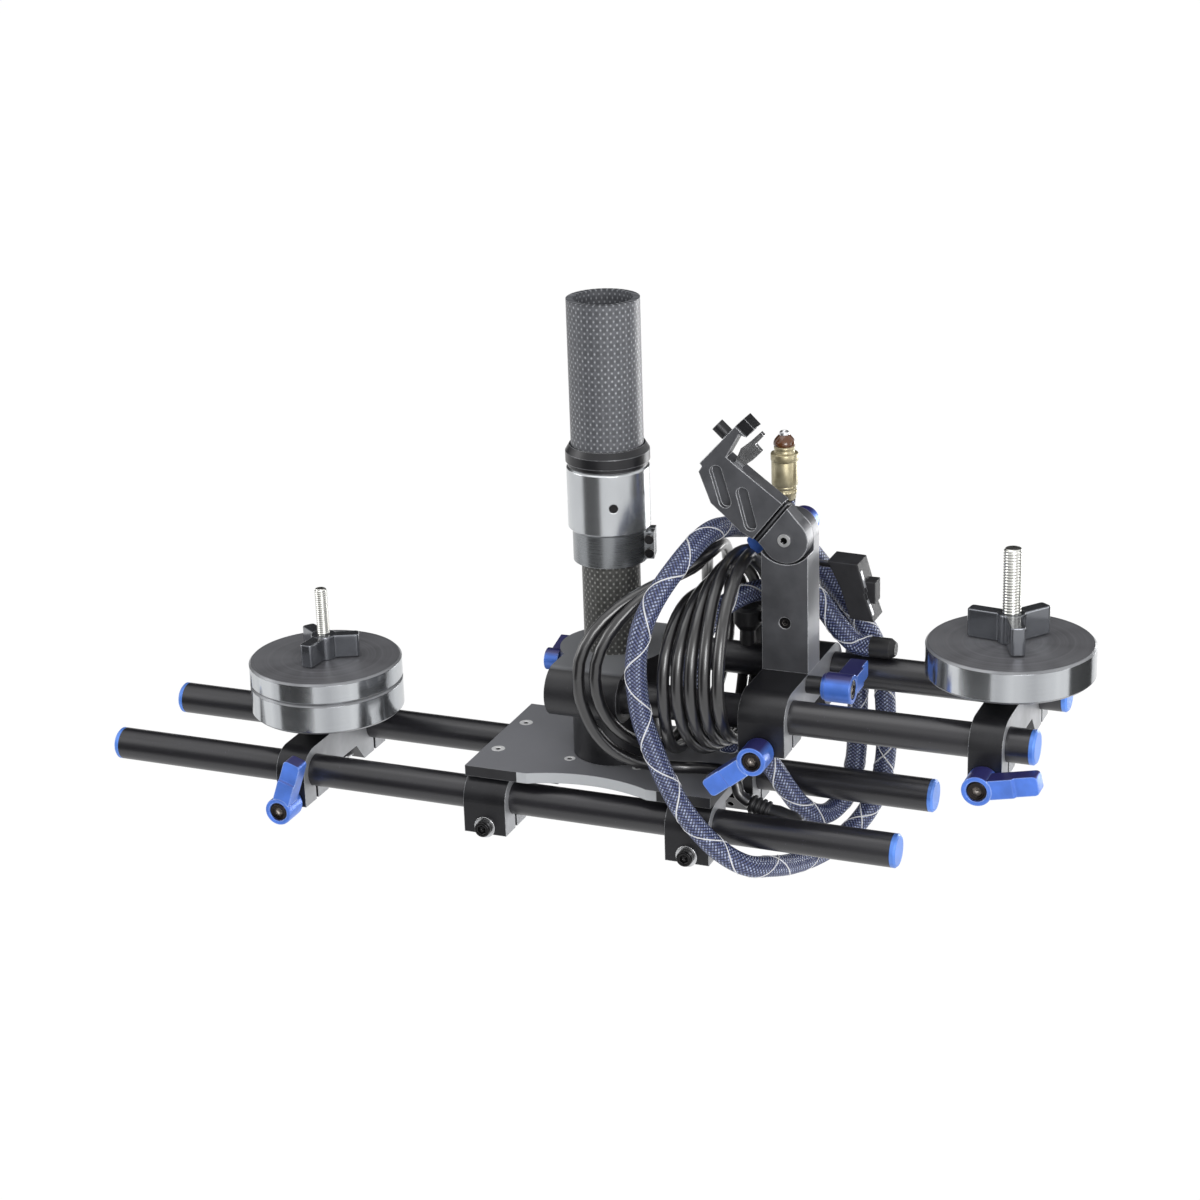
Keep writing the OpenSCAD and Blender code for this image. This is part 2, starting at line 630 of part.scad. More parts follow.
module tube(p, d, count) {
  n = sides(p);
  rings = [for (i = [0 : len(p) - 1]) let (t = heading(p, i), b = cross(t, n[i]))
    for (k = [0 : count - 1]) p[i] + d / 2 * (cos(360 * k / count) * n[i] + sin(360 * k / count) * b)];
  last = (len(p) - 1) * count;
  faces = [
    [for (k = [0 : count - 1]) k],
    for (i = [0 : len(p) - 2]) for (k = [0 : count - 1]) each [
      [i * count + k, (i + 1) * count + k, (i + 1) * count + (k + 1) % count],
      [i * count + k, (i + 1) * count + (k + 1) % count, i * count + (k + 1) % count]
    ],
    [for (k = [0 : count - 1]) last + count - 1 - k]
  ];
  polyhedron(points = rings, faces = faces, convexity = 12);
}

sleeve_z = pair_height + rod_r + braid_d / 2 + seat_gap;
connector_at = [71.8, 28.4, 134];
braid_points = [
  [111, half_spacing, sleeve_z], [107, half_spacing, sleeve_z + 0.2], [102, 30.2, sleeve_z + 1.8],
  [94, 31, 77.5], [85, 32, 88], [76, 31.5, 92.3], [66, 28, 91.6], [57, 21, 91], [50, 9, 88.5],
  [46, -4, 83], [44.6, -13, 74], [44.1, -16.3, 63], [44.1, -16.3, 51], [44.1, -13, 41.5],
  [44.1, -6, 34.5], [44.1, 2, 28.5], [47, 9, 23.2], [54, 11, 21.85], [60, 10.5, 21.85],
  [65.5, 11, 18.8], [71, 13, 10.5], [76, 14.5, 2], [81, 16.5, -6], [86, 22.5, -13], [91, 33, -16],
  [96, 44, -9.5], [98.5, 48, 6], [99, 48.5, 22], [99, 49.5, 38], [98, 51, 55], [93, 54, 72],
  [85, 53, 88], [76, 46.5, 102], [66, 37.5, 113.5], [58, 31, 118.5], [52.5, 21.5, 121.5], [50.3, 10.5, 124.6],
  [48.2, 0, 126.2], [46, -11, 125], [43, -27, 120], [38, -42, 110], [34, -50.5, 98], [31.5, -52, 84],
  [31.5, -52, 70], [33.5, -52, 56], [38, -52, 43], [44, -51.5, 28], [52, -50, 13], [64, -47, -2],
  [75, -40, -12], [82, -25, -18.5], [87, -8, -24], [93, 12, -27], [99, 31, -26], [106, 43.5, -17],
  [111, 47.5, -2], [113, 48, 14], [112.5, 48, 32], [111, 48, 50], [107, 46.5, 65], [99, 44.5, 79],
  [90, 41.5, 93], [82, 37, 106], [75.5, 31, 117],
  [connector_at[0], connector_at[1], connector_at[2] - braid_d],
  connector_at
];
braid_path = curve(braid_points, 2);

// winding stations, four per turn from the top to the front: place along the rods, reach from the centre
coil_centre_z = 72;
stations = [
  [65, 45], [67.8, 51], [68, 31.6], [64.4, 50],
  [57.4, 43.2], [61.6, 51], [62.8, 35.3], [58.2, 50],
  [53, 38.3], [55.4, 51], [57.6, 39], [52, 50],
  [48.6, 32.6], [49.2, 51], [52.4, 42.7], [45.4, 50],
  [43.9, 26.9], [43, 51], [35.8, 45], [37, 52],
  [47.5, 44.5], [11.5, 50.5], [29.4, 45], [27, 50],
  [41, 38], [3.5, 50]
];
function between(a, b, t) = a + (b - a) * pow(sin(t * 90), 2);
function wound(turn) =
  let (k = floor(turn), t = turn - k, a = stations[k], b = stations[min(k + 1, len(stations) - 1)])
  let (x = between(a[0], b[0], t), reach = between(a[1], b[1], t), angle = 90 - turn * 90)
  [x, -reach * cos(angle), coil_centre_z + reach * sin(angle)];
coil_points = [for (ring = [0 : 6 * (len(stations) - 1)]) wound(ring / 6)];
lead_in = curve([[59.9, 30, 77], [64.5, 30.5, 77.2], [68, 36, 80.5], [68.3, 40.5, 88.5], [68, 37, 96.4],
  [67.3, 28, 102.2], [66.3, 15, 106.2], [65, 0, coil_centre_z + stations[0][1]]], 2);
lead_out = curve([coil_points[len(coil_points) - 1], [3.8, -49, 61], [7.5, -46, 47], [13.5, -40, 35],
  [21.5, -31.5, 26.5], [30, -23, 22], [38, -17.5, 20], [46, -15, 19.8], [54, -14.5, 19.8], [60, -15.8, 19.3],
  [63.4, -17, 15.5], [65.2, -18, 10.8], [70.2, -18.3, 7.4]], 2);
cable_path = concat([for (i = [0 : len(lead_in) - 2]) lead_in[i]], coil_points,
  [for (i = [1 : len(lead_out) - 1]) lead_out[i]]);

// least distance between surface points of a path that are more than skip rings apart
function own_gap(p, d, skip) =
  min([for (i = [0 : len(p) - 1]) for (j = [i + skip : 1 : len(p) - 1]) norm(p[i] - p[j])]) - d;
echo(cable_own_gap = own_gap(cable_path, cable_d, 8), braid_own_gap = own_gap(braid_path, braid_d, 6));

module braided_cable() color([0.1, 0.12, 0.25]) deck() tube(braid_path, braid_d, 10);
module heat_shrink_sleeve() color(black) deck() translate([111, half_spacing, sleeve_z]) {
  along_x(braid_d / 2, 9);
  translate([9, 0, 0]) rotate([0, 90, 0]) cylinder(r1 = braid_d / 2, r2 = braid_d / 2 - 1.6, h = 2.4);
}

module gold_connector() color([0.65, 0.5, 0.2]) deck() translate(connector_at) difference() {
  union() {
    cylinder(r1 = 4.2, r2 = 5, h = 3);
    translate([0, 0, 3]) ring(5.4, 3, 1.4);
    translate([0, 0, 3]) cylinder(r = 4.6, h = 4);
    translate([0, 0, 5.4]) cylinder(r = 5.5, h = 1.4);
    translate([0, 0, 6.8]) cylinder(r = 5.8, h = 11.2);
    translate([0, 0, 18]) cylinder(r = 6.1, h = 3.4);
    translate([0, 0, 21.4]) cylinder(r = 4.6, h = 3.2);
    translate([0, 0, 24.6]) cylinder(r1 = 4.6, r2 = 4.9, h = 1);
    translate([0, 0, 25.6]) cylinder(r1 = 4.9, r2 = 4, h = 2);
    translate([0, 0, 27.6]) cylinder(r1 = 4, r2 = 2.4, h = 1.8);
    translate([0, 0, 29.4]) cylinder(r = 1.7, h = 1.6);
  }
  translate([0, 0, 28.5]) cylinder(r = 0.9, h = 4);
}

// outlet box: leaning outline seen from the front, pulled back along the depth
box_front = 17.5;
module outlet_box() color(black) deck() difference() {
  union() {
    translate([0, box_front + 14, 0]) rotate([90, 0, 0]) linear_extrude(14)
      polygon([[94.5, 111], [108.2, 110.6], [112, 97.5], [111.2, 97.3], [115.8, 84.5], [105, 85.3], [100.6, 99]]);
    translate([111.5, box_front + 3, 92]) cube([4, 8, 10]);
  }
  translate([0, box_front + 1.5, 0]) rotate([90, 0, 0]) linear_extrude(3)
    polygon([[97.6, 109], [106, 108.8], [108.4, 100.6], [101.4, 101.2]]);
}

lead_path = curve([[81.3, 33.2, 107], [81.5, 29.5, 107], [83, 24.5, 108.2], [86, 21.5, 109],
  [91, 21, 108.6], [97.2, 21, 108.2]], 3);
module outlet_lead() color(black) deck() tube(lead_path, 3, 8);

module black_cable() color(black) deck() tube(cable_path, cable_d, 8);

relief_at = [70.2, -18.3, 7.4];
relief_tilt = 90 + 17;
module strain_relief() color(black) deck() translate(relief_at) rotate([0, relief_tilt, 0]) {
  cylinder(r = 3.6, h = 10);
  for (k = [0 : 3]) translate([0, 0, 0.8 + 2.3 * k]) cylinder(r = 4.4, h = 1.3);
  translate([0, 0, 10]) cylinder(r1 = 3.6, r2 = 4.3, h = 3);
  translate([0, 0, 13]) cylinder(r = 4.3, h = 8);
  translate([0, 0, 21]) cylinder(r1 = 4.3, r2 = 3, h = 3);
}

module round_plug() color(black) deck() translate([53.4, half_spacing, 0]) {
  difference() {
    translate([0, 0, pair_height + rod_r - 1]) cylinder(r = 3.2, h = 9);
    translate([-5, 0, pair_height]) along_x(rod_r + seat_gap, 10);
  }
  translate([0, 0, 70.6]) cylinder(r1 = 4.4, r2 = 6.5, h = 3);
  translate([0, 0, 73.6]) cylinder(r = 6.5, h = 6.4);
  translate([0, 0, 80]) cylinder(r1 = 6.5, r2 = 5, h = 1.5);
}

upper_tube();
collar_ring();
post_collar();
collar_clamp();
collar_screws();
lower_tube();
base_block();
block_set_screws();
block_lever();
swivel_neck();
neck_ring();
base_plate();
plate_screws();
rod_clamps_left();
rod_clamps_right();
clamp_screws();
lower_rod_front();
lower_rod_rear();
upper_rod_front();
upper_rod_rear();
rod_caps();
left_bracket();
left_bolt();
left_stud();
left_weight_lower();
left_weight_upper();
left_wing_nut();
left_lever();
right_bracket();
right_bolt();
right_stud();
right_weight();
right_wing_nut();
right_lever();
monitor_bracket();
monitor_bolt();
monitor_lever();
arm_lock_boss();
arm_lock_lever();
monitor_arm();
arm_screws();
hinge_bolt();
tilt_lever();
head_knuckle();
tilt_head();
head_fork();
head_jaw();
jaw_knob();
braided_cable();
heat_shrink_sleeve();
gold_connector();
outlet_box();
outlet_lead();
black_cable();
strain_relief();
round_plug();
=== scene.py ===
import math

import bmesh
import bpy
from mathutils import Matrix, Vector


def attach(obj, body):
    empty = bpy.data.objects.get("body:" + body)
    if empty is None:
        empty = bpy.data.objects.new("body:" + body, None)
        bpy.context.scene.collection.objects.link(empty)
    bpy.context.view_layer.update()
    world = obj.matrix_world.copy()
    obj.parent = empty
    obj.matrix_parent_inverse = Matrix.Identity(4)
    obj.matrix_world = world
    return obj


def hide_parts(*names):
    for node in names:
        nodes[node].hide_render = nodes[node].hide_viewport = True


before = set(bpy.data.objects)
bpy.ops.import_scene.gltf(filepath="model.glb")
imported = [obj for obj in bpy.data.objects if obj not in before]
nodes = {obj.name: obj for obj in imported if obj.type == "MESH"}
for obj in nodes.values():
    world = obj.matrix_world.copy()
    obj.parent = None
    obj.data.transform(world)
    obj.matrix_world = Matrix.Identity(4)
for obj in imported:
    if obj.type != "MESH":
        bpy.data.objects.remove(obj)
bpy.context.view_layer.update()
print("frame loaded, nodes:", len(nodes))

mm = 0.001
seatHeight = 227    # the part's origin lies this far above the axes of the lower rods
pairHeight = 56     # from the lower rods' axes up to the upper rods'
rodRadius = 7.5
leftX, monitorX, rightX = -147, 83.5, 181    # places of the three carriages along the rods
hingeHeight = 127.8
clampFace = 41.5    # from the middle out to the side faces of the clamps
boltDrop = 11.8     # from a rod's axis down to the bolt of its clamp


def deck(x, y, z):
    # millimetres over the lower rods' plane, to metres in the part's frame
    return Vector((x, y, z - seatHeight)) * mm


def screen(red, green, blue):
    # a colour as a screen shows it, 0 to 255, to a linear colour
    def linear(c):
        c /= 255
        return c / 12.92 if c <= 0.04045 else ((c + 0.055) / 1.055) ** 2.4
    return (linear(red), linear(green), linear(blue), 1)


# camera

camera = {
    "place": (0.42919, -1.04416, 0.27730),
    "turn": 22.622,      # degrees round the post, from looking along +Y
    "tilt": 20.199,      # degrees down
    "roll": -1.911,
    "lens": 80.963,
}


def addCamera():
    turn, tilt, roll = (math.radians(camera[k]) for k in ("turn", "tilt", "roll"))
    ahead = Vector((-math.sin(turn) * math.cos(tilt), math.cos(turn) * math.cos(tilt), -math.sin(tilt)))
    level = Vector((math.cos(turn), math.sin(turn), 0))
    upright = level.cross(ahead)
    right = level * math.cos(roll) + upright * math.sin(roll)
    up = upright * math.cos(roll) - level * math.sin(roll)
    lens = bpy.data.cameras.new("camera")
    lens.lens = camera["lens"]
    lens.sensor_width = 36
    lens.clip_start = 0.05
    lens.clip_end = 50
    eye = bpy.data.objects.new("camera", lens)
    bpy.context.scene.collection.objects.link(eye)
    turned = Matrix((right, up, -ahead)).transposed().to_4x4()
    eye.matrix_world = Matrix.Translation(camera["place"]) @ turned
    bpy.context.scene.camera = eye


addCamera()
print("camera placed")


# shader building


class Value:
    # a node's output that takes part in plain sums
    def __init__(self, paint, socket):
        self.paint = paint
        self.socket = socket

    def maths(self, operation, *terms):
        return self.paint.add("ShaderNodeMath", {"operation": operation}, dict(enumerate(terms)))

    def part(self, name):
        return Value(self.paint, self.socket.node.outputs[name])

    def __add__(self, other):
        return self.maths("ADD", self, other)

    def __radd__(self, other):
        return self.maths("ADD", other, self)

    def __sub__(self, other):
        return self.maths("SUBTRACT", self, other)

    def __rsub__(self, other):
        return self.maths("SUBTRACT", other, self)

    def __mul__(self, other):
        return self.maths("MULTIPLY", self, other)

    def __rmul__(self, other):
        return self.maths("MULTIPLY", other, self)

    def __pow__(self, other):
        return self.maths("POWER", self, other)

    def __gt__(self, other):
        return self.maths("GREATER_THAN", self, other)

    def __lt__(self, other):
        return self.maths("LESS_THAN", self, other)

    def __abs__(self):
        return self.maths("ABSOLUTE", self)

    def wave(self):
        # 0 to 1 and back over each whole step
        return self.maths("COSINE", self * (2 * math.pi)) * 0.5 + 0.5

    def floor(self):
        return self.maths("FLOOR", self)

    def fit(self, low, high, toLow=0.0, toHigh=1.0):
        spans = {"Value": self, "From Min": low, "From Max": high, "To Min": toLow, "To Max": toHigh}
        return self.paint.add("ShaderNodeMapRange", {"clamp": True}, spans)


class Paint:
    # one material, or the world, while it is made
    def __init__(self, name, owner=None):
        self.material = owner or bpy.data.materials.new(name)
        self.material.use_nodes = True
        self.tree = self.material.node_tree
        self.tree.nodes.clear()

    def add(self, kind, settings=None, sockets=None, out=0):
        node = self.tree.nodes.new(kind)
        for key, value in (settings or {}).items():
            setattr(node, key, value)
        for key, value in (sockets or {}).items():
            if isinstance(value, Value):
                self.tree.links.new(value.socket, node.inputs[key])
            else:
                node.inputs[key].default_value = value
        return Value(self, node.outputs[out])

    def place(self):
        return self.add("ShaderNodeTexCoord", out="Object")

    def placeParts(self):
        x = self.add("ShaderNodeSeparateXYZ", None, {0: self.place()})
        return x, x.part("Y"), x.part("Z")

    def facing(self):
        # which way the surface faces in the part's frame: x, y, z
        x = self.add("ShaderNodeSeparateXYZ", None, {0: self.add("ShaderNodeTexCoord", out="Normal")})
        return x, x.part("Y"), x.part("Z")

    def vector(self, x, y, z):
        return self.add("ShaderNodeCombineXYZ", None, {0: x, 1: y, 2: z})

    def noise(self, scale, detail=3, at=None, rough=0.55):
        sockets = {"Vector": at or self.place(), "Scale": scale, "Detail": detail, "Roughness": rough}
        return self.add("ShaderNodeTexNoise", None, sockets)

    def mix(self, share, first, second):
        return self.add("ShaderNodeMix", {"data_type": "RGBA"}, {0: share, 6: first, 7: second}, out=2)

    def bump(self, height, depth, normal=None):
        sockets = {"Height": height, "Distance": depth, "Strength": 1.0}
        if normal:
            sockets["Normal"] = normal
        return self.add("ShaderNodeBump", None, sockets)

    def rounded(self, radius):
        # the surface's direction as if its edges were rounded off
        return self.add("ShaderNodeBevel", {"samples": 4}, {"Radius": radius})

    def edges(self, rounded, strength=1.0):
        # the share of an edge: how far the rounded direction leaves the flat one
        terms = {0: rounded, 1: self.add("ShaderNodeNewGeometry", out="Normal")}
        agree = self.add("ShaderNodeVectorMath", {"operation": "DOT_PRODUCT"}, terms, out="Value")
        return agree.fit(0.997, 0.90, 0.0, strength)

    def seenDirectly(self):
        # 1 for the camera, for reflections and through glass, 0 for diffuse light
        seen = self.add("ShaderNodeLightPath", out="Is Camera Ray")
        direct = seen.maths("MAXIMUM", seen, seen.part("Is Glossy Ray"))
        return direct.maths("MAXIMUM", direct, seen.part("Is Transmission Ray"))

    def finish(self, **sockets):
        names = {
            "colour": "Base Color", "rough": "Roughness", "metal": "Metallic", "normal": "Normal",
            "coat": "Coat Weight", "coatRough": "Coat Roughness", "shine": "Specular IOR Level",
        }
        surface = self.add("ShaderNodeBsdfPrincipled", None, {names[k]: v for k, v in sockets.items()})
        self.output(surface)
        return self.material

    def output(self, surface, kind="ShaderNodeOutputMaterial"):
        node = self.tree.nodes.new(kind)
        self.tree.links.new(surface.socket, node.inputs["Surface"])


def roundParts(paint, centre):
    # distance from an upright axis, angle round it, and height
    x, y, z = paint.placeParts()
    dx, dy = x - centre[0] * mm, y - centre[1] * mm
    return (dx * dx + dy * dy) ** 0.5, dx.maths("ARCTAN2", dy, dx), z


def toned(colour, share):
    return tuple(min(1, c * share) for c in colour[:3]) + (1,)


def scallopShare(paint):
    # the two hollowed edges of the plate, milled bright
    x, y = paint.placeParts()[:2]
    up = paint.facing()[2]
    return (abs(x) < 33.5 * mm) * (abs(y) > 20 * mm) * (abs(up) < 0.5)


def sideLightShare(paint):
    # painted light on the side faces of the clamps, which look along the rods, in patches
    return (abs(paint.facing()[0]) > 0.9) * paint.noise(60, 3).fit(0.2, 0.8, 0.35, 0.75)


def armSideLightShare(paint):
    # painted light on the arm's sides, paler towards the foot
    z = paint.placeParts()[2]
    return (abs(paint.facing()[0]) > 0.9) * z.fit(-0.1, -0.16, 0.12, 0.4)


# round: radius of the rounded edges; edge, with its share: the colour on the edges, partly real wear and
# partly painted highlight, and painted shade on the caps, whose edge colour is darker; bright: where the
# edge's colour also lies, milled scallops on the plate and painted light on the clamps' and the arm's side
# faces;
# upward: how far up a face looks where the top's colour begins, and where it is full; top: that colour,
# painted highlight on the plate, painted shade on the blue levers, a paler top on the block
anodised = {
    "black": {
        "colour": screen(32, 32, 35), "edge": screen(204, 206, 210),
        "rough": 0.34, "edgeWearAndLight": 0.9, "shine": 0.6, "metal": 0.35, "round": 0.45,
    },
    "block": {
        "colour": screen(32, 32, 35), "edge": screen(150, 152, 156),
        "rough": 0.4, "edgeWearAndLight": 0.7, "shine": 0.6, "metal": 0.2, "round": 0.5,
        "top": screen(138, 140, 144), "upward": (0.93, 0.99),
    },
    "dark": {
        "colour": screen(80, 81, 85), "edge": screen(226, 228, 232), "bright": armSideLightShare,
        "rough": 0.4, "edgeWearAndLight": 1.0, "shine": 0.7, "metal": 0.35, "round": 0.6,
    },
    "plate": {
        "colour": screen(34, 34, 37), "edge": screen(180, 183, 186), "bright": scallopShare,
        "rough": 0.42, "edgeWearAndLight": 0.5, "shine": 0.5, "metal": 0.1, "round": 0.5,
        "top": screen(132, 133, 138), "upward": (0.9, 0.97),
    },
    "bracket": {
        "colour": screen(32, 32, 35), "edge": screen(204, 206, 210), "bright": sideLightShare,
        "rough": 0.36, "edgeWearAndLight": 0.9, "shine": 0.6, "metal": 0.35, "round": 0.45,
    },
    "blue": {
        "colour": screen(80, 126, 224), "edge": screen(206, 226, 255),
        "rough": 0.34, "edgeWearAndLight": 1.0, "shine": 0.6, "metal": 0.2, "round": 0.5,
        "top": screen(44, 44, 104), "upward": (0.55, 0.85),
    },
    "cap": {
        # the darker edge colour is painted shade on the caps' rounded edges
        "colour": screen(92, 142, 232), "edge": screen(60, 108, 216),
        "rough": 0.36, "edgeWearAndLight": 0.6, "shine": 0.6, "metal": 0.2, "round": 0.4,
    },
}


def anodisedFinish(kind):
    look = anodised[kind]
    paint = Paint(kind + "Anodised")
    rounded = paint.rounded(look["round"] * mm)
    patches = paint.noise(90, 3)
    grain = paint.noise(4200, 2)
    dust = paint.noise(1500, 4).fit(0.66, 0.78)
    colour = paint.mix(patches.fit(0.3, 0.7), toned(look["colour"], 0.82), toned(look["colour"], 1.2))
    colour = paint.mix(dust * 0.10, colour, screen(190, 190, 190))
    # edges take the edge colour: partly real wear, partly painted highlight, and painted shade where that
    # colour is darker
    wornAndLitEdges = paint.edges(rounded, look["edgeWearAndLight"]) * paint.noise(700, 3).fit(0.25, 0.6, 0.45, 1)
    colour = paint.mix(wornAndLitEdges, colour, look["edge"])
    if "bright" in look:
        # the bright mask lays the edge colour on the plate's milled scallops, and as painted light on clamp
        # and arm side faces
        colour = paint.mix(look["bright"](paint), colour, look["edge"])
    if "top" in look:
        # faces that look up take the top colour: painted highlight on the plate's top, painted shade on the
        # blue levers' tops, a paler top on the block
        colour = paint.mix(paint.facing()[2].fit(*look["upward"]), colour, look["top"])
    rough = look["rough"] + (patches - 0.5) * 0.16 + (grain - 0.5) * 0.12
    relief = paint.bump(grain, 0.012 * mm, rounded)
    return paint.finish(colour=colour, rough=rough, metal=look["metal"], shine=look["shine"], normal=relief)


def rodFinish():
    paint = Paint("rodAnodised")
    x, y, z = paint.placeParts()
    drawn = paint.noise(260, 3, paint.vector(x * 0.05, y, z))
    grain = paint.noise(3600, 2)
    specks = paint.noise(1300, 3).fit(0.68, 0.76)
    colour = paint.mix(drawn, screen(24, 24, 27), screen(42, 41, 46))
    colour = paint.mix(specks * 0.22, colour, screen(150, 140, 170))
    rough = 0.34 + (drawn - 0.5) * 0.12 + (grain - 0.5) * 0.1
    return paint.finish(colour=colour, rough=rough, metal=0.3, shine=1.0, normal=paint.bump(grain, 0.01 * mm))


yarnPitch = {"across": 2.9, "along": 3.5}


def carbonFinish(name, radius, dark, mid, light):
    # crossed yarns under lacquer: a centred grid of yarn crowns with a painted highlight, on a chequer of two
    # tones
    paint = Paint(name)
    angle, z = roundParts(paint, (0, 0))[1:]
    across = angle * (radius / yarnPitch["across"])
    along = z * (1 / (yarnPitch["along"] * mm))
    first, second = across + along, across - along
    wander = (paint.noise(220, 2) - 0.5) * 0.25
    first, second = first + wander, second - wander
    crown = (first.wave() * second.wave()) ** 3
    chequer = (first.floor() + second.floor()) * 0.5
    odd = (chequer - chequer.floor()) > 0.25
    yarn = paint.noise(2600, 2)
    blotch = paint.noise(160, 3).fit(0.3, 0.7)
    tone = paint.mix(odd * 0.25 + yarn * 0.4, dark, mid)
    # the crowns take the light colour: painted highlight
    colour = paint.mix(crown * (0.45 + 0.55 * blotch), tone, light)
    bumps = paint.bump(crown + yarn * 0.3, 0.03 * mm)
    return paint.finish(colour=colour, rough=0.46 + (yarn - 0.5) * 0.1, metal=0.1, shine=0.35,
                        coat=0.08, coatRough=0.2, normal=bumps)


def collarFinish(name, colour, rough):
    # satin turned aluminium with fine lines round the post
    paint = Paint(name)
    rounded = paint.rounded(0.5 * mm)
    angle, z = roundParts(paint, (0, 0))[1:]
    lines = paint.noise(1, 3, paint.vector(z * 5200, angle * 0.8, 0))
    shade = paint.mix(paint.noise(60, 3), toned(colour, 0.8), colour)
    # a paler colour on rounded edges: painted highlight
    shade = paint.mix(paint.edges(rounded, 0.6), shade, screen(225, 226, 228))
    grain = lines * 0.6 + paint.noise(3500, 2) * 0.4
    relief = paint.bump(grain, 0.003 * mm, rounded)
    return paint.finish(colour=shade, rough=rough + (lines - 0.5) * 0.2, metal=0.9, normal=relief)


def turnedFinish(name, centreX):
    # faced top with fine rings and brighter sectors of painted reflection, rim with turning lines and soft
    # bands of painted reflection, and painted shade on the rounded edges
    paint = Paint(name)
    rounded = paint.rounded(0.5 * mm)
    away, angle, z = roundParts(paint, (centreX, 0))
    top = abs(paint.facing()[2]).fit(0.55, 0.8)
    rings = paint.noise(1, 4, paint.vector(away * 2600, angle * 0.35, 0), 0.7)
    coarse = paint.noise(1, 2, paint.vector(away * 420, 0, 0))
    lines = paint.noise(1, 3, paint.vector(z * 5000, angle * 1.6, 0), 0.6)
    # soft bands round the rim: painted reflection
    reflectionBands = paint.noise(1, 2, paint.vector(angle * 2.2, 3.1, 0)).fit(0.36, 0.62)
    fine = rings.fit(0.3, 0.7) * 0.6 + coarse.fit(0.3, 0.7) * 0.4
    face = paint.mix(fine, screen(64, 64, 68), screen(126, 126, 130))
    # brighter sectors on the top: painted reflection
    reflectionSectors = paint.noise(1, 2, paint.vector(angle * 1.1, 7.3, 0)).fit(0.35, 0.65)
    face = paint.mix(reflectionSectors * 0.5, face, screen(134, 135, 139))
    rim = paint.mix(reflectionBands * 0.7 + lines * 0.3, screen(150, 153, 157), screen(206, 209, 212))
    colour = paint.mix(top, rim, face)
    # a dark colour on rounded edges: painted shade
    colour = paint.mix(paint.edges(rounded, 0.8), colour, screen(52, 52, 56))
    relief = paint.bump(rings * top + lines * (1 - top), 0.008 * mm, rounded)
    rough = 0.13 + top * 0.3 + (rings - 0.5) * 0.1
    return paint.finish(colour=colour, rough=rough, metal=0.92 - top * 0.72, normal=relief)


# stain: scale of the stains, and the part of their range from the low to the high colour;
# edge, with its share: the colour on the edges and how much of it shows, partly real wear and partly painted
# highlight
metals = {
    "steel": {
        "name": "brightSteel", "low": screen(186, 187, 189), "high": screen(230, 231, 233),
        "edge": screen(244, 244, 244), "edgeWearAndLight": 0.5, "round": 0.2, "stain": (240, 0.3, 0.7),
        "rough": 0.24, "uneven": 0.08, "metal": 0.95,
    },
    "leverScrew": {
        "name": "leverScrewOxide", "low": screen(26, 24, 24), "high": screen(58, 52, 50),
        "edge": screen(226, 216, 208), "edgeWearAndLight": 0.7, "round": 0.12, "stain": (300, 0, 1),
        "rough": 0.24, "uneven": 0.1, "metal": 0.85,
    },
    "blackScrew": {
        "name": "blackOxide", "low": screen(18, 18, 20), "high": screen(44, 43, 44),
        "edge": screen(196, 190, 184), "edgeWearAndLight": 0.6, "round": 0.2, "stain": (300, 0, 1),
        "rough": 0.26, "uneven": 0.1, "metal": 0.7,
    },
    "gold": {
        "name": "goldPlate", "low": screen(150, 140, 110), "high": screen(196, 187, 156),
        "edge": screen(244, 232, 200), "edgeWearAndLight": 0.6, "round": 0.25, "stain": (160, 0.3, 0.7),
        "rough": 0.36, "uneven": 0.08, "metal": 0.6,
    },
}


def metalFinish(look):
    paint = Paint(look["name"])
    rounded = paint.rounded(look["round"] * mm)
    scale, low, high = look["stain"]
    stain = paint.noise(scale, 2)
    colour = paint.mix(stain.fit(low, high), look["low"], look["high"])
    # the edge colour on rounded edges: partly real wear, partly painted highlight
    colour = paint.mix(paint.edges(rounded, look["edgeWearAndLight"]), colour, look["edge"])
    rough = look["rough"] + (stain - 0.5) * look["uneven"]
    return paint.finish(colour=colour, rough=rough, metal=look["metal"], normal=rounded)


def hingeSteel():
    # bright bolt with its front-end socket painted near-black as painted shade
    paint = Paint("hingeSteel")
    rounded = paint.rounded(0.2 * mm)
    x, y, z = paint.placeParts()
    dx, dz = x - monitorX * mm, z - (hingeHeight - seatHeight) * mm
    socket = ((dx * dx + dz * dz) ** 0.5 < 1.5 * mm) * (y < 0)
    stain = paint.noise(240, 2)
    colour = paint.mix(stain, screen(216, 217, 219), screen(240, 240, 240))
    # the socket takes a near-black colour: painted shade
    colour = paint.mix(socket, colour, screen(14, 14, 15))
    return paint.finish(colour=colour, rough=0.3 + (stain - 0.5) * 0.06, metal=0.85, normal=rounded)


def studSteel():
    paint = Paint("studSteel")
    stain = paint.noise(240, 2)
    colour = paint.mix(stain, screen(206, 206, 200), screen(232, 232, 228))
    return paint.finish(colour=colour, rough=0.22 + (stain - 0.5) * 0.06, metal=0.95)


def plasticFinish(name, low, high, edge, rough, rounding=0.4, coat=0.0, metal=0.0, shine=0.5):
    paint = Paint(name)
    rounded = paint.rounded(rounding * mm)
    cloud = paint.noise(140, 3)
    fine = paint.noise(2800, 2)
    colour = paint.mix(cloud, screen(*low), screen(*high))
    # a paler colour on rounded edges: painted highlight
    colour = paint.mix(paint.edges(rounded, 0.35), colour, screen(*edge))
    return paint.finish(colour=colour, rough=rough + (cloud - 0.5) * 0.14, metal=metal, shine=shine,
                        coat=coat, coatRough=0.12, normal=paint.bump(fine, 0.012 * mm, rounded))


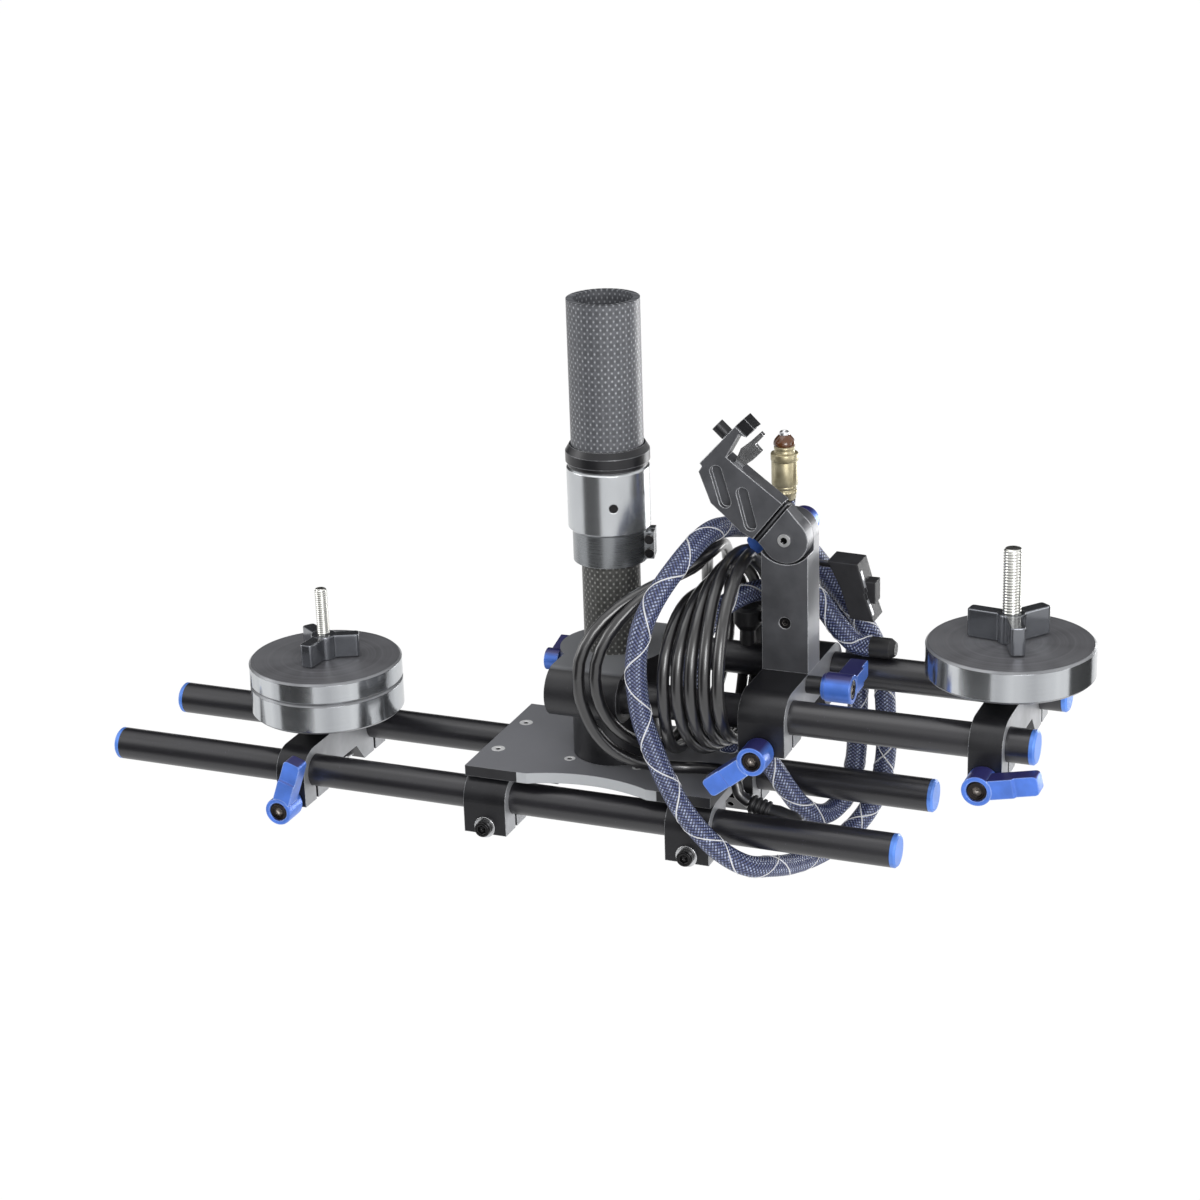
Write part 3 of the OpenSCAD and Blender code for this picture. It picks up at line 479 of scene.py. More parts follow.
def cableJacket():
    paint = Paint("cableJacket")
    scuff = paint.noise(300, 3).fit(0.6, 0.75)
    cloud = paint.noise(50, 2)
    fine = paint.noise(1500, 2)
    colour = paint.mix(cloud, screen(16, 16, 18), screen(30, 29, 31))
    colour = paint.mix(scuff * 0.06, colour, screen(120, 122, 124))
    rough = 0.3 + scuff * 0.06 + (cloud - 0.5) * 0.08
    return paint.finish(colour=colour, rough=rough, shine=0.8, coat=0.35, coatRough=0.2,
                        normal=paint.bump(fine, 0.004 * mm))


braid = {
    "diameter": 9.4,
    "sides": 32,
    "steps": 8,
    "carriers": 14,      # yarns each way round the sleeve
    "pitch": 25,         # millimetres of sleeve for one turn of a yarn
    "navy": screen(13, 16, 38),
    "slate": screen(58, 74, 146),
    "glint": screen(206, 218, 246),
}


def braidFinish():
    # two sets of yarns cross at a slant, each over two and under two; pale filaments with painted highlights,
    # and painted shade where the yarns meet
    paint = Paint("braidedSleeve")
    around = paint.add("ShaderNodeSeparateXYZ", None, {0: paint.add("ShaderNodeUVMap", {"uv_map": "run"})})
    along = around.part("Y")
    turns = around * braid["carriers"]
    slant = along * (braid["carriers"] / (braid["pitch"] * mm))
    first, second = turns + slant, turns - slant
    pair = (first.floor() + second.floor()) * 0.25
    over = (pair - pair.floor()) > 0.3
    acrossYarn = over * second + (1 - over) * first
    crown = acrossYarn.wave()
    otherWay = over * first + (1 - over) * second
    dash = otherWay.wave()
    # glint: pale filaments with a painted highlight on them
    glint = (1 - crown) * (1 - dash)
    wander = paint.noise(500, 2).fit(0.3, 0.65, 0.35, 1)
    # yarn middles paler than where the yarns meet: painted shade in the gaps
    yarn = paint.mix((1 - crown) * 0.55, braid["navy"], braid["slate"])
    colour = paint.mix(glint * wander * (0.35 + 0.65 * over), yarn, braid["glint"])
    height = (1 - crown) * (0.6 + 0.4 * (1 - dash))
    rough = 0.42 + (paint.noise(900, 2) - 0.5) * 0.2
    return paint.finish(colour=colour, rough=rough, shine=0.6, normal=paint.bump(height, 0.28 * mm))


def tracerFinish():
    paint = Paint("tracerThread")
    twist = paint.noise(5000, 2)
    colour = paint.mix(twist, screen(206, 208, 214), screen(250, 250, 250))
    return paint.finish(colour=colour, rough=0.55 + (twist - 0.5) * 0.1, normal=paint.bump(twist, 0.03 * mm))


postRadius, lowerTubeRadius = 16, 13
finishes = {kind: anodisedFinish(kind) for kind in anodised}
finishes |= {kind: metalFinish(look) for kind, look in metals.items()}
finishes |= {
    "rod": rodFinish(),
    "upperCarbon": carbonFinish(
        "upperCarbon", postRadius, screen(72, 73, 77), screen(112, 114, 119), screen(190, 193, 198)),
    "lowerCarbon": carbonFinish(
        "lowerCarbon", lowerTubeRadius, screen(54, 54, 53), screen(96, 96, 93), screen(182, 182, 178)),
    "collar": collarFinish("collarSatin", screen(200, 203, 206), 0.22),
    "collarLow": collarFinish("clampSatin", screen(146, 149, 152), 0.28),
    "leftDisc": turnedFinish("leftDiscTurned", leftX),
    "rightDisc": turnedFinish("rightDiscTurned", rightX),
    "paleSteel": plasticFinish(
        "paleSteel", (226, 227, 228), (250, 250, 250), (255, 255, 255), 0.4, rounding=0.15, metal=0.25),
    "nut": plasticFinish(
        "nutGloss", (86, 88, 93), (126, 129, 135), (186, 190, 196), 0.14, rounding=0.6, coat=0.6, metal=0.7),
    "outlet": plasticFinish(
        "outletShell", (26, 26, 28), (50, 50, 53), (150, 152, 156), 0.55, shine=0.25),
    "outletBar": plasticFinish(
        "outletBar", (120, 122, 126), (170, 172, 176), (210, 212, 216), 0.3, rounding=0.3, coat=0.3),
    "dull": plasticFinish("dullPlastic", (18, 18, 20), (36, 36, 38), (96, 96, 98), 0.48),
    "dome": plasticFinish(
        "connectorInsulator", (50, 27, 12), (108, 62, 24), (190, 140, 84), 0.2, rounding=0.2, coat=0.5),
    "jacket": cableJacket(),
    "braid": braidFinish(),
    "tracer": tracerFinish(),
    "stud": studSteel(),
    "hinge": hingeSteel(),
}
nodeFinishes = {
    "upperCarbon": ["upper_tube"],
    "lowerCarbon": ["lower_tube"],
    "collar": ["post_collar"],
    "collarLow": ["collar_clamp"],
    "black": ["collar_ring", "swivel_neck", "neck_ring", "arm_lock_boss", "head_jaw", "jaw_knob"],
    "bracket": ["rod_clamps_left", "rod_clamps_right", "left_bracket", "right_bracket", "monitor_bracket"],
    "dark": ["monitor_arm", "head_knuckle", "tilt_head"],
    "plate": ["base_plate"],
    "rod": ["lower_rod_front", "lower_rod_rear", "upper_rod_front", "upper_rod_rear"],
    "cap": ["rod_caps"],
    "block": ["base_block"],
    "blue": ["block_lever", "left_lever", "right_lever", "monitor_lever", "arm_lock_lever", "tilt_lever"],
    "leftDisc": ["left_weight_lower", "left_weight_upper"],
    "rightDisc": ["right_weight"],
    "steel": ["plate_screws", "clamp_screws", "left_bolt", "right_bolt", "monitor_bolt",
              "left_stud", "right_stud", "head_fork"],
    "hinge": ["hinge_bolt"],
    "blackScrew": ["block_set_screws", "arm_screws", "collar_screws"],
    "nut": ["left_wing_nut", "right_wing_nut"],
    "outlet": ["outlet_box"],
    "dull": ["heat_shrink_sleeve", "strain_relief", "round_plug"],
    "jacket": ["outlet_lead", "black_cable"],
    "braid": ["braided_cable"],
    "gold": ["gold_connector"],
}
for finish, members in nodeFinishes.items():
    for member in members:
        materials = nodes[member].data.materials
        materials.clear()
        materials.append(finishes[finish])
print("finishes made:", len(finishes))


# building pieces


def addPiece(name, mesh, body, finish, stands=()):
    piece = bpy.data.objects.new(name, mesh)
    bpy.context.scene.collection.objects.link(piece)
    mesh.materials.append(finishes[finish])
    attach(piece, body)
    if stands:
        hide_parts(*stands)
    return piece


def smoothPath(points, steps):
    # a smooth curve through the points, with so many rings from each to the next
    path = []
    for i in range(len(points) - 1):
        a, b = points[max(i - 1, 0)], points[i]
        c, d = points[i + 1], points[min(i + 2, len(points) - 1)]
        for step in range(steps):
            t = step / steps
            bend = 2 * a - 5 * b + 4 * c - d
            path.append(0.5 * (2 * b + (c - a) * t + bend * t * t + (3 * b - a - 3 * c + d) * t * t * t))
    path.append(points[-1])
    return path


def frames(path):
    # heading and two side directions at each ring, carried along without twist
    side = Vector((0.3, 0.2, 1))
    made = []
    for i in range(len(path)):
        ahead = (path[min(i + 1, len(path) - 1)] - path[max(i - 1, 0)]).normalized()
        side = (side - side.dot(ahead) * ahead).normalized()
        made.append((ahead, side.copy(), ahead.cross(side)))
    return made


def closedTube(shape, rings):
    # faces between the rings and over both ends; gives the side faces with their ring and place in it
    sides = len(rings[0])
    skin = []
    for i in range(len(rings) - 1):
        for k in range(sides):
            n = (k + 1) % sides
            face = shape.faces.new((rings[i][k], rings[i][n], rings[i + 1][n], rings[i + 1][k]))
            face.smooth = True
            skin.append((face, i, k))
    shape.faces.new(list(reversed(rings[0])))
    shape.faces.new(rings[-1])
    return skin


def meshOf(name, shape):
    mesh = bpy.data.meshes.new(name)
    shape.to_mesh(mesh)
    shape.free()
    return mesh


def tubeMesh(name, path, radius, sides):
    # a closed tube, with a map of the share round it and the metres along it
    shape = bmesh.new()
    run = shape.loops.layers.uv.new("run")
    turns = [2 * math.pi * k / sides for k in range(sides)]
    rings, lengths, length = [], [], 0
    for i, (point, (ahead, side, other)) in enumerate(zip(path, frames(path))):
        length += (point - path[i - 1]).length if i else 0
        lengths.append(length)
        spokes = [math.cos(a) * side + math.sin(a) * other for a in turns]
        rings.append([shape.verts.new(point + radius * spoke) for spoke in spokes])
    for face, i, k in closedTube(shape, rings):
        for loop, (u, v) in zip(face.loops, ((k, i), (k + 1, i), (k + 1, i + 1), (k, i + 1))):
            loop[run].uv = (u / sides, lengths[v])
    bmesh.ops.recalc_face_normals(shape, faces=shape.faces)
    return meshOf(name, shape)


def addTube(name, path, diameter, sides, finish, node):
    return addPiece(name, tubeMesh(name, path, diameter / 2 * mm, sides), "sled_base", finish, [node])


def pathLength(path):
    return sum((b - a).length for a, b in zip(path, path[1:]))


# braided cable

connector = {"place": (71.8, 28.4, 134)}
tracer = {
    "radius": 0.26,
    "pitch": 35,    # millimetres of cable for one turn of a tracer thread
    "wide": 1.4,    # the thread is flattened this much
}
sleeveHeight = pairHeight + rodRadius + braid["diameter"] / 2 + 0.02    # lies on the rear upper rod
braidPoints = [
    (111, 30, sleeveHeight), (107, 30, sleeveHeight + 0.2), (102, 30.2, sleeveHeight + 1.8),
    (94, 31, 77.5), (85, 32, 88), (76, 31.5, 92.3), (66, 28, 91.6), (57, 21, 91), (50, 9, 88.5),
    (46, -4, 83), (44.6, -13, 74), (44.1, -16.3, 63), (44.1, -16.3, 51), (44.1, -13, 41.5),
    (44.1, -6, 34.5), (44.1, 2, 28.5), (47, 9, 23.2), (54, 11, 21.85), (60, 10.5, 21.85),
    (65.5, 11, 18.8), (71, 13, 10.5), (76, 14.5, 2), (81, 16.5, -6), (86, 22.5, -13), (91, 33, -16),
    (96, 44, -9.5), (98.5, 48, 6), (99, 48.5, 22), (99, 49.5, 38), (98, 51, 55), (93, 54, 72),
    (85, 53, 88), (76, 46.5, 102), (66, 37.5, 113.5), (58, 31, 118.5), (52.5, 21.5, 121.5),
    (50.3, 10.5, 124.6), (48.2, 0, 126.2), (46, -11, 125), (43, -27, 120), (38, -42, 110), (34, -50.5, 98),
    (31.5, -52, 84),
    (31.5, -52, 70), (33.5, -52, 56), (38, -52, 43), (44, -51.5, 28), (52, -50, 13), (64, -47, -2),
    (75, -40, -12), (82, -25, -18.5), (87, -8, -24), (93, 12, -27), (99, 31, -26), (106, 43.5, -17),
    (111, 47.5, -2), (113, 48, 14), (112.5, 48, 32), (111, 48, 50), (107, 46.5, 65), (99, 44.5, 79),
    (90, 41.5, 93), (82, 37, 106), (75.5, 31, 117),
    (*connector["place"][:2], connector["place"][2] - braid["diameter"]), connector["place"],
]


def tracerMesh(name, path):
    # white threads that run round the sleeve both ways and cross each other
    tube = braid["diameter"] / 2 * mm
    thick = tracer["radius"] * mm
    corners = [(1, 0), (0, 1), (-1, 0), (0, -1)]
    axes = frames(path)
    shape = bmesh.new()
    for hand in (1, -1):
        angle, rings = 0.0, []
        for i, point in enumerate(path):
            if i:
                angle += hand * 2 * math.pi * (point - path[i - 1]).length / (tracer["pitch"] * mm)
            ahead, side, other = axes[i]
            out = math.cos(angle) * side + math.sin(angle) * other
            centre = point + out * (tube + thick * 0.25)
            wide = (ahead + out.cross(ahead) * -hand).normalized().cross(out) * tracer["wide"]
            rings.append([shape.verts.new(centre + thick * (a * wide + b * out)) for a, b in corners])
        closedTube(shape, rings)
    bmesh.ops.recalc_face_normals(shape, faces=shape.faces)
    return meshOf(name, shape)


braidPath = smoothPath([deck(*p) for p in braidPoints], braid["steps"])
braidPiece = addTube(
    "braidedSleeve", braidPath, braid["diameter"], braid["sides"], "braid", "braided_cable")
tracerThreads = tracerMesh("tracerThreads", braidPath)
tracerPiece = addPiece("tracerThreads", tracerThreads, "sled_base", "tracer")
print("braided cable:", round(pathLength(braidPath), 4), "m")

# black cable: wound in a loose upright coil on the upper rods

coil = {
    "diameter": 5.4,
    "sides": 16,
    "centreHeight": 72,
    "ringsPerQuarter": 12,
}
# four stations a turn, from the top to the front: place along the rods, reach from the centre
coilStations = [
    (65, 45), (67.8, 51), (68, 31.6), (64.4, 50),
    (57.4, 43.2), (61.6, 51), (62.8, 35.3), (58.2, 50),
    (53, 38.3), (55.4, 51), (57.6, 39), (52, 50),
    (48.6, 32.6), (49.2, 51), (52.4, 42.7), (45.4, 50),
    (43.9, 26.9), (43, 51), (35.8, 45), (37, 52),
    (47.5, 44.5), (11.5, 50.5), (29.4, 45), (27, 50),
    (41, 38), (3.5, 50),
]
leadIn = [
    (59.9, 30, 77), (64.5, 30.5, 77.2), (68, 36, 80.5), (68.3, 40.5, 88.5), (68, 37, 96.4),
    (67.3, 28, 102.2), (66.3, 15, 106.2), (65, 0, coil["centreHeight"] + coilStations[0][1]),
]
leadOut = [
    (3.8, -49, 61), (7.5, -46, 47), (13.5, -40, 35), (21.5, -31.5, 26.5), (30, -23, 22), (38, -17.5, 20),
    (46, -15, 19.8), (54, -14.5, 19.8), (60, -15.8, 19.3), (63.4, -17, 15.5), (65.2, -18, 10.8),
    (70.2, -18.3, 7.4),
]


def wound(turn):
    k = min(int(turn), len(coilStations) - 2)
    share = math.sin((turn - k) * math.pi / 2) ** 2
    (xa, ra), (xb, rb) = coilStations[k], coilStations[k + 1]
    x, reach = xa + (xb - xa) * share, ra + (rb - ra) * share
    angle = math.pi / 2 * (1 - turn)
    return deck(x, -reach * math.cos(angle), coil["centreHeight"] + reach * math.sin(angle))


quarters = len(coilStations) - 1
coilPath = [wound(i / coil["ringsPerQuarter"]) for i in range(coil["ringsPerQuarter"] * quarters + 1)]
blackPath = (smoothPath([deck(*p) for p in leadIn], 4)[:-1] + coilPath
             + smoothPath([coilPath[-1]] + [deck(*p) for p in leadOut], 4)[1:])
blackPiece = addTube(
    "blackCable", blackPath, coil["diameter"], coil["sides"], "jacket", "black_cable")
print("black cable:", round(pathLength(blackPath), 4), "m")

lead = {
    "diameter": 3,
    "sides": 16,
    "points": [(81.3, 33.2, 107), (81.5, 29.5, 107), (83, 24.5, 108.2), (86, 21.5, 109), (91, 21, 108.6),
               (97.2, 21, 108.2)],
}
leadPath = smoothPath([deck(*p) for p in lead["points"]], 6)
outletLead = addTube(
    "outletLead", leadPath, lead["diameter"], lead["sides"], "jacket", "outlet_lead")

# turned and milled pieces


def hexReach(flat):
    # distance from the centre to the side of a hexagon, by angle
    return lambda a: flat / math.cos((a + math.pi / 6) % (math.pi / 3) - math.pi / 6)


def ribbedReach(radius, depth, ribs):
    return lambda a: radius + depth * math.cos(ribs * a)


def spun(shape, profile, sides=48, turns=None):
    # a solid turned round local Z through pairs of reach and height;
    # a profile that comes back to its start makes a ring
    rings = []
    turns = turns or [2 * math.pi * k / sides for k in range(sides)]
    sides = len(turns)
    ringed = profile[0] == profile[-1]
    for reach, height in profile[:-1] if ringed else profile:
        ring = []
        for a in turns:
            r = reach(a) if callable(reach) else reach
            ring.append(shape.verts.new((r * math.cos(a) * mm, r * math.sin(a) * mm, height * mm)))
        rings.append(ring)
    for low, high in zip(rings, rings[1:] + rings[:1] if ringed else rings[1:]):
        for k in range(sides):
            n = (k + 1) % sides
            shape.faces.new((low[k], low[n], high[n], high[k]))
    if not ringed:
        shape.faces.new(list(reversed(rings[0])))
        shape.faces.new(rings[-1])


def bevelled(shape, edges, width, segments=3):
    bmesh.ops.bevel(shape, geom=edges, offset=width * mm, segments=segments, profile=0.5, affect="EDGES",
                    clamp_overlap=True)


def farEdges(shape, reach):
    # upright edges at the far end of a bar that lies along local X
    return [e for e in shape.edges if all(v.co.x > (reach - 0.1) * mm for v in e.verts)
            and abs(e.verts[0].co.z - e.verts[1].co.z) > mm]


def sharpEdges(shape, faces):
    shape.normal_update()
    edges = {e for f in faces for e in f.edges}
    return [e for e in edges if len(e.link_faces) == 2 and e.calc_face_angle(0) > math.radians(32)]


def slab(shape, outline, low, high, upright=False):
    # a straight solid over an outline; upright lays the outline in X and Z
    def at(x, y, h):
        return (x * mm, -h * mm, y * mm) if upright else (x * mm, y * mm, h * mm)
    ends = [[shape.verts.new(at(x, y, h)) for x, y in outline] for h in (low, high)]
    count = len(outline)
    faces = [shape.faces.new(list(reversed(ends[0]))), shape.faces.new(ends[1])]
    for k in range(count):
        n = (k + 1) % count
        faces.append(shape.faces.new((ends[0][k], ends[0][n], ends[1][n], ends[1][k])))
    return faces


def addShape(name, shape, placed, body, finish, stands=(), even=True):
    # the built shape as a smooth piece at its place; even keeps broad faces flat beside rounded edges
    bmesh.ops.recalc_face_normals(shape, faces=shape.faces)
    for face in shape.faces:
        face.smooth = True
    bmesh.ops.transform(shape, matrix=placed, verts=shape.verts)
    piece = addPiece(name, meshOf(name, shape), body, finish, stands)
    if even:
        shading = piece.modifiers.new("evenShading", "WEIGHTED_NORMAL")
        shading.keep_sharp = True
        shading.weight = 100
    return piece


def turned(x=0, y=0, z=0):
    made = Matrix.Identity(4)
    for degrees, axis in ((z, "Z"), (y, "Y"), (x, "X")):
        made = made @ Matrix.Rotation(math.radians(degrees), 4, axis)
    return made


def addTurned(whole, profile, placed, sides=48):
    # a turned solid set down at a place in a larger shape
    old = set(whole.verts)
    spun(whole, profile, sides)
    bmesh.ops.transform(whole, matrix=placed, verts=[v for v in whole.verts if v not in old])


lever = {
    "hub": 6.5,
    "foot": 0.7,         # the hub's foot is this much slimmer
    "length": 13.5,
    "armStart": 4.95,
    "armDepth": 9,
    "armHalf": 4.25,
    "reach": 26,
    "stepAt": 15.3,
    "step": 1.2,
    "tipRound": 2.0,
    "recess": 4.4,
    "screw": 4.2,
    "socket": 1.8,
}


def armShape(shape):
    # side outline of the arm, from the hub's wall to the step and the rounded tip
    start, far, ramp = lever["armStart"], lever["reach"], lever["stepAt"]
    low, top = lever["length"] - lever["armDepth"], lever["length"] - 0.06
    stepped = top - lever["step"]
    outline = [(start, low), (far, low), (far, stepped), (ramp + 0.9, stepped), (ramp, top), (start, top)]
    slab(shape, outline, -lever["armHalf"], lever["armHalf"], upright=True)
    bevelled(shape, farEdges(shape, far), lever["tipRound"], 5)
    bevelled(shape, sharpEdges(shape, shape.faces), 0.35, 2)


def addLever(node, placed, hole, body):
    hub, top, recess = lever["hub"], lever["length"], lever["recess"]
    foot = hub - lever["foot"]
    shape = bmesh.new()
    armShape(shape)
    spun(shape, [
        (hole, 10), (hole, 0.3), (hole + 0.3, 0), (hub - 1, 0), (foot, 0.3), (foot, 1.1), (hub - 0.1, 1.7),
        (hub, 2), (hub, top - 0.5), (hub - 0.15, top - 0.15), (hub - 0.5, top), (recess + 0.35, top),
        (recess + 0.08, top - 0.12), (recess, top - 0.4), (recess, top - 1.1), (0.5, top - 1.1),
    ])
    addShape(node + "Body", shape, placed, body, "blue", [node])
    r, socket = lever["screw"], hexReach(lever["socket"])
    shape = bmesh.new()
    spun(shape, [
        (r, top - 1.05), (r, top - 0.55), (r - 0.2, top - 0.3), (r - 0.75, top - 0.2), (r - 0.9, top - 0.35),
        (r - 1.3, top - 0.35), (hexReach(lever["socket"] + 0.15), top - 0.3), (socket, top - 0.5),
        (socket, top - 1.0), (0.3, top - 1.04),
    ], 72)
    addShape(node + "Screw", shape, placed, body, "leverScrew")


def capHead(radius, low, top, socket):
    return [
        (1.4, low - 0.1), (radius - 0.3, low), (radius, low + 0.3), (radius, top - 0.5),
        (radius - 0.15, top - 0.15), (radius - 0.55, top), (socket + 0.45, top),
        (hexReach(socket + 0.1), top - 0.12), (hexReach(socket), top - 0.3), (hexReach(socket), top - 1.9),
        (0.2, top - 2.1),
    ]


clampScrews = {
    "x": 48.5,
    "height": -11,
    "head": (3.6, 0.85, 4.0, 1.8),    # radius, foot, top and socket
    "washer": [(1.7, 0), (4.85, 0), (5, 0.15), (5, 0.65), (4.85, 0.8), (1.7, 0.8), (1.7, 0)],
}
plateScrews = {
    "corners": (52, 16),
    "cornerHead": 3.14,
    "ring": 23.2,
    "ringTurns": (45, 135, 225, 315),
    "ringHead": 2.54,
}


def addClampScrews():
    # black socket screws on bright washers, through the outer face of each rod clamp
    heads, washers = bmesh.new(), bmesh.new()
    for x in (-clampScrews["x"], clampScrews["x"]):
        for side in (-1, 1):
            place = deck(x, side * (clampFace + 0.02), clampScrews["height"])
            placed = Matrix.Translation(place) @ turned(x=-90 * side)
            addTurned(heads, capHead(*clampScrews["head"]), placed)
            addTurned(washers, clampScrews["washer"], placed)
    addShape("clampWashers", washers, Matrix(), "sled_base", "steel", ["clamp_screws"])
    addShape("clampScrewHeads", heads, Matrix(), "sled_base", "blackScrew")


def addPlateScrews():
    # pale countersunk heads with dark plugs in their sockets as painted shade: four by the plate's corners,
    # four round the neck
    x, y = plateScrews["corners"]
    ring = plateScrews["ring"]
    spots = [(a, b, plateScrews["cornerHead"]) for a in (-x, x) for b in (-y, y)]
    for turn in map(math.radians, plateScrews["ringTurns"]):
        spots.append((ring * math.cos(turn), ring * math.sin(turn), plateScrews["ringHead"]))
    whole, sockets = bmesh.new(), bmesh.new()
    for x, y, r in spots:
        placed = Matrix.Translation(deck(x, y, 0))
        addTurned(whole, [
            (1.5, 11.5), (1.55, 14.95), (r, 16.4), (r, 16.5), (r - 0.1, 16.52), (1.45, 16.52),
            (hexReach(1.2), 16.42), (hexReach(1.1), 16.2), (hexReach(1.1), 15.5), (0.2, 15.4),
        ], placed, 36)
        # a dark hex plug in each socket: painted shade
        addTurned(sockets, [(hexReach(1.08), 15.45), (hexReach(1.08), 16.32), (0.2, 16.32)], placed, 36)
    addShape("plateScrewHeads", whole, Matrix(), "sled_base", "paleSteel", ["plate_screws"])
    addShape("plateScrewSocketShade", sockets, Matrix(), "sled_base", "blackScrew", even=False)


addClampScrews()
addPlateScrews()
print("plate and clamp screws built")

# each lever's place, turn and bolt hole
leverSide = -clampFace - 0.3
upperBolt = pairHeight - boltDrop
leverPlaces = {
    "left_lever": (deck(leftX, leverSide, -boltDrop), turned(x=90) @ turned(z=71), 2.05),
    "right_lever": (deck(rightX, leverSide, upperBolt), turned(x=90) @ turned(z=12), 2.05),
    "monitor_lever": (deck(monitorX, leverSide, upperBolt), turned(x=90) @ turned(z=218), 2.05),
    "arm_lock_lever": (deck(monitorX + 17.8, -9, 63.3), turned(y=90) @ turned(z=90), 2.05),
    "tilt_lever": (deck(monitorX, 8.3, hingeHeight), turned(x=-90) @ turned(z=152), 2.55),
}
for node, (place, turn, hole) in leverPlaces.items():
    addLever(node, Matrix.Translation(place) @ turn, hole, node)
print("levers:", len(leverPlaces))

wingNuts = {
    "left_wing_nut": {
        "place": (leftX, 0, 44.52), "turn": 25, "height": 11.48, "reach": 16.5, "hole": 2.55,
    },
    "right_wing_nut": {
        "place": (rightX, 0, 90.02), "turn": -67.4, "height": 12.98, "reach": 19, "hole": 3.55,
    },
}


def addWingNut(node, nut):
    # three thick wings with rounded ends round a ring
    height, reach, hole, half = nut["height"], nut["reach"], nut["hole"], 3.2
    shape = bmesh.new()
    for turn in (0, 120, 240):
        wing = bmesh.new()
        slab(wing, [(2, -half), (reach, -half), (reach, half), (2, half)], 0.3, height - 0.2)
        bevelled(wing, farEdges(wing, reach), 1.6, 4)
        bevelled(wing, sharpEdges(wing, wing.faces), 0.6, 3)
        bmesh.ops.transform(wing, matrix=turned(z=turn), verts=wing.verts)
        part = meshOf("wing", wing)
        shape.from_mesh(part)
        bpy.data.meshes.remove(part)
    spun(shape, [
        (hole, height - 0.6), (hole, 0), (5.7, 0), (6, 0.3), (6, height - 0.7), (5.8, height - 0.2),
        (5.3, height), (hole + 0.6, height), (hole, height - 0.6),
    ])
    placed = Matrix.Translation(deck(*nut["place"])) @ turned(z=nut["turn"])
    addShape(node + "Body", shape, placed, node, "nut", [node])


for node, nut in wingNuts.items():
    addWingNut(node, nut)

# low, step and top: heights of a stud's foot, of the thread's start and of its end
studs = {
    "left_stud": {
        "x": leftX, "low": -4.9, "step": 56.0, "top": 78.7, "radius": 3, "pitch": 1.0,
        "body": "left_carriage",
    },
    "right_stud": {
        "x": rightX, "low": 51.1, "step": 103.0, "top": 131.6, "radius": 4, "pitch": 1.25,
        "body": "right_carriage",
    },
}


def addStud(node, stud):
    # the free end carries a thread; the clamped length below it is a plain shaft
    shape = bmesh.new()
    radius, pitch, step, top = stud["radius"], stud["pitch"], stud["step"], stud["top"]
    plain = radius - 0.5

    def thread(height):
        end = min(1.0, (top - height) / 1.2, (height - step) / 0.3)

        def reach(a):
            wave = 1 - abs(2 * ((height / pitch - a / (2 * math.pi)) % 1) - 1)
            return radius - 0.34 * min(1, wave * 1.25) - 0.5 * max(0.0, 1 - end)
        return reach
    rows = int((top - step) / pitch * 8)
    profile = [(plain - 0.3, stud["low"]), (plain, stud["low"] + 0.3), (plain, step)]
    for i in range(1, rows):
        height = step + (top - step) * i / rows
        profile.append((thread(height), height))
    profile.append((radius - 1.2, top))
    spun(shape, profile, 40)
    placed = Matrix.Translation(deck(stud["x"], 0, 0))
    addShape(node + "Thread", shape, placed, stud["body"], "stud", [node], even=False)


for node, stud in studs.items():
    addStud(node, stud)
print("wing nuts and studs built")

knuckle = {
    "cheek": 10.5,
    "corners": [(-11.8, -2.1), (1.3, 14.3), (7.9, 6.7)],
    "below": [(7.9, -6.9), (-9.2, -5)],    # corners inside the round cheek
    "edge": 7.9,               # from the hinge out to the cheek's straight edge
    "slant": 51.38,
    "seat": (-9.2, 11.8),      # along the straight edge
    "seatOut": (7.8, 10.57),   # from the hinge out, past the straight edge
    "head": 2.9,
    "bore": 2.55,
}


def knuckleReach(shorter):
    # from the hinge's axis to the outline: a round cheek drawn out to a straight edge that faces the head
    square = math.radians(knuckle["slant"] + 90)
    corners = knuckle["corners"] + knuckle["below"]

    def reach(a):
        far = knuckle["cheek"]
        ray = Vector((math.cos(a), math.sin(a)))
        for (xa, ya), (xb, yb) in zip(corners, corners[1:] + corners[:1]):
            run = Vector((xb - xa, yb - ya))
            level = ray.x * run.y - ray.y * run.x
            if abs(level) > 1e-9:
                out, share = (xa * run.y - ya * run.x) / level, (xa * ray.y - ya * ray.x) / level
                if out > 0 and 0 <= share <= 1:
                    far = max(far, out)
        toEdge = math.cos(a - square)
        return (min(far, knuckle["edge"] / toEdge) if toEdge > 0.1 else far) - shorter
    return reach


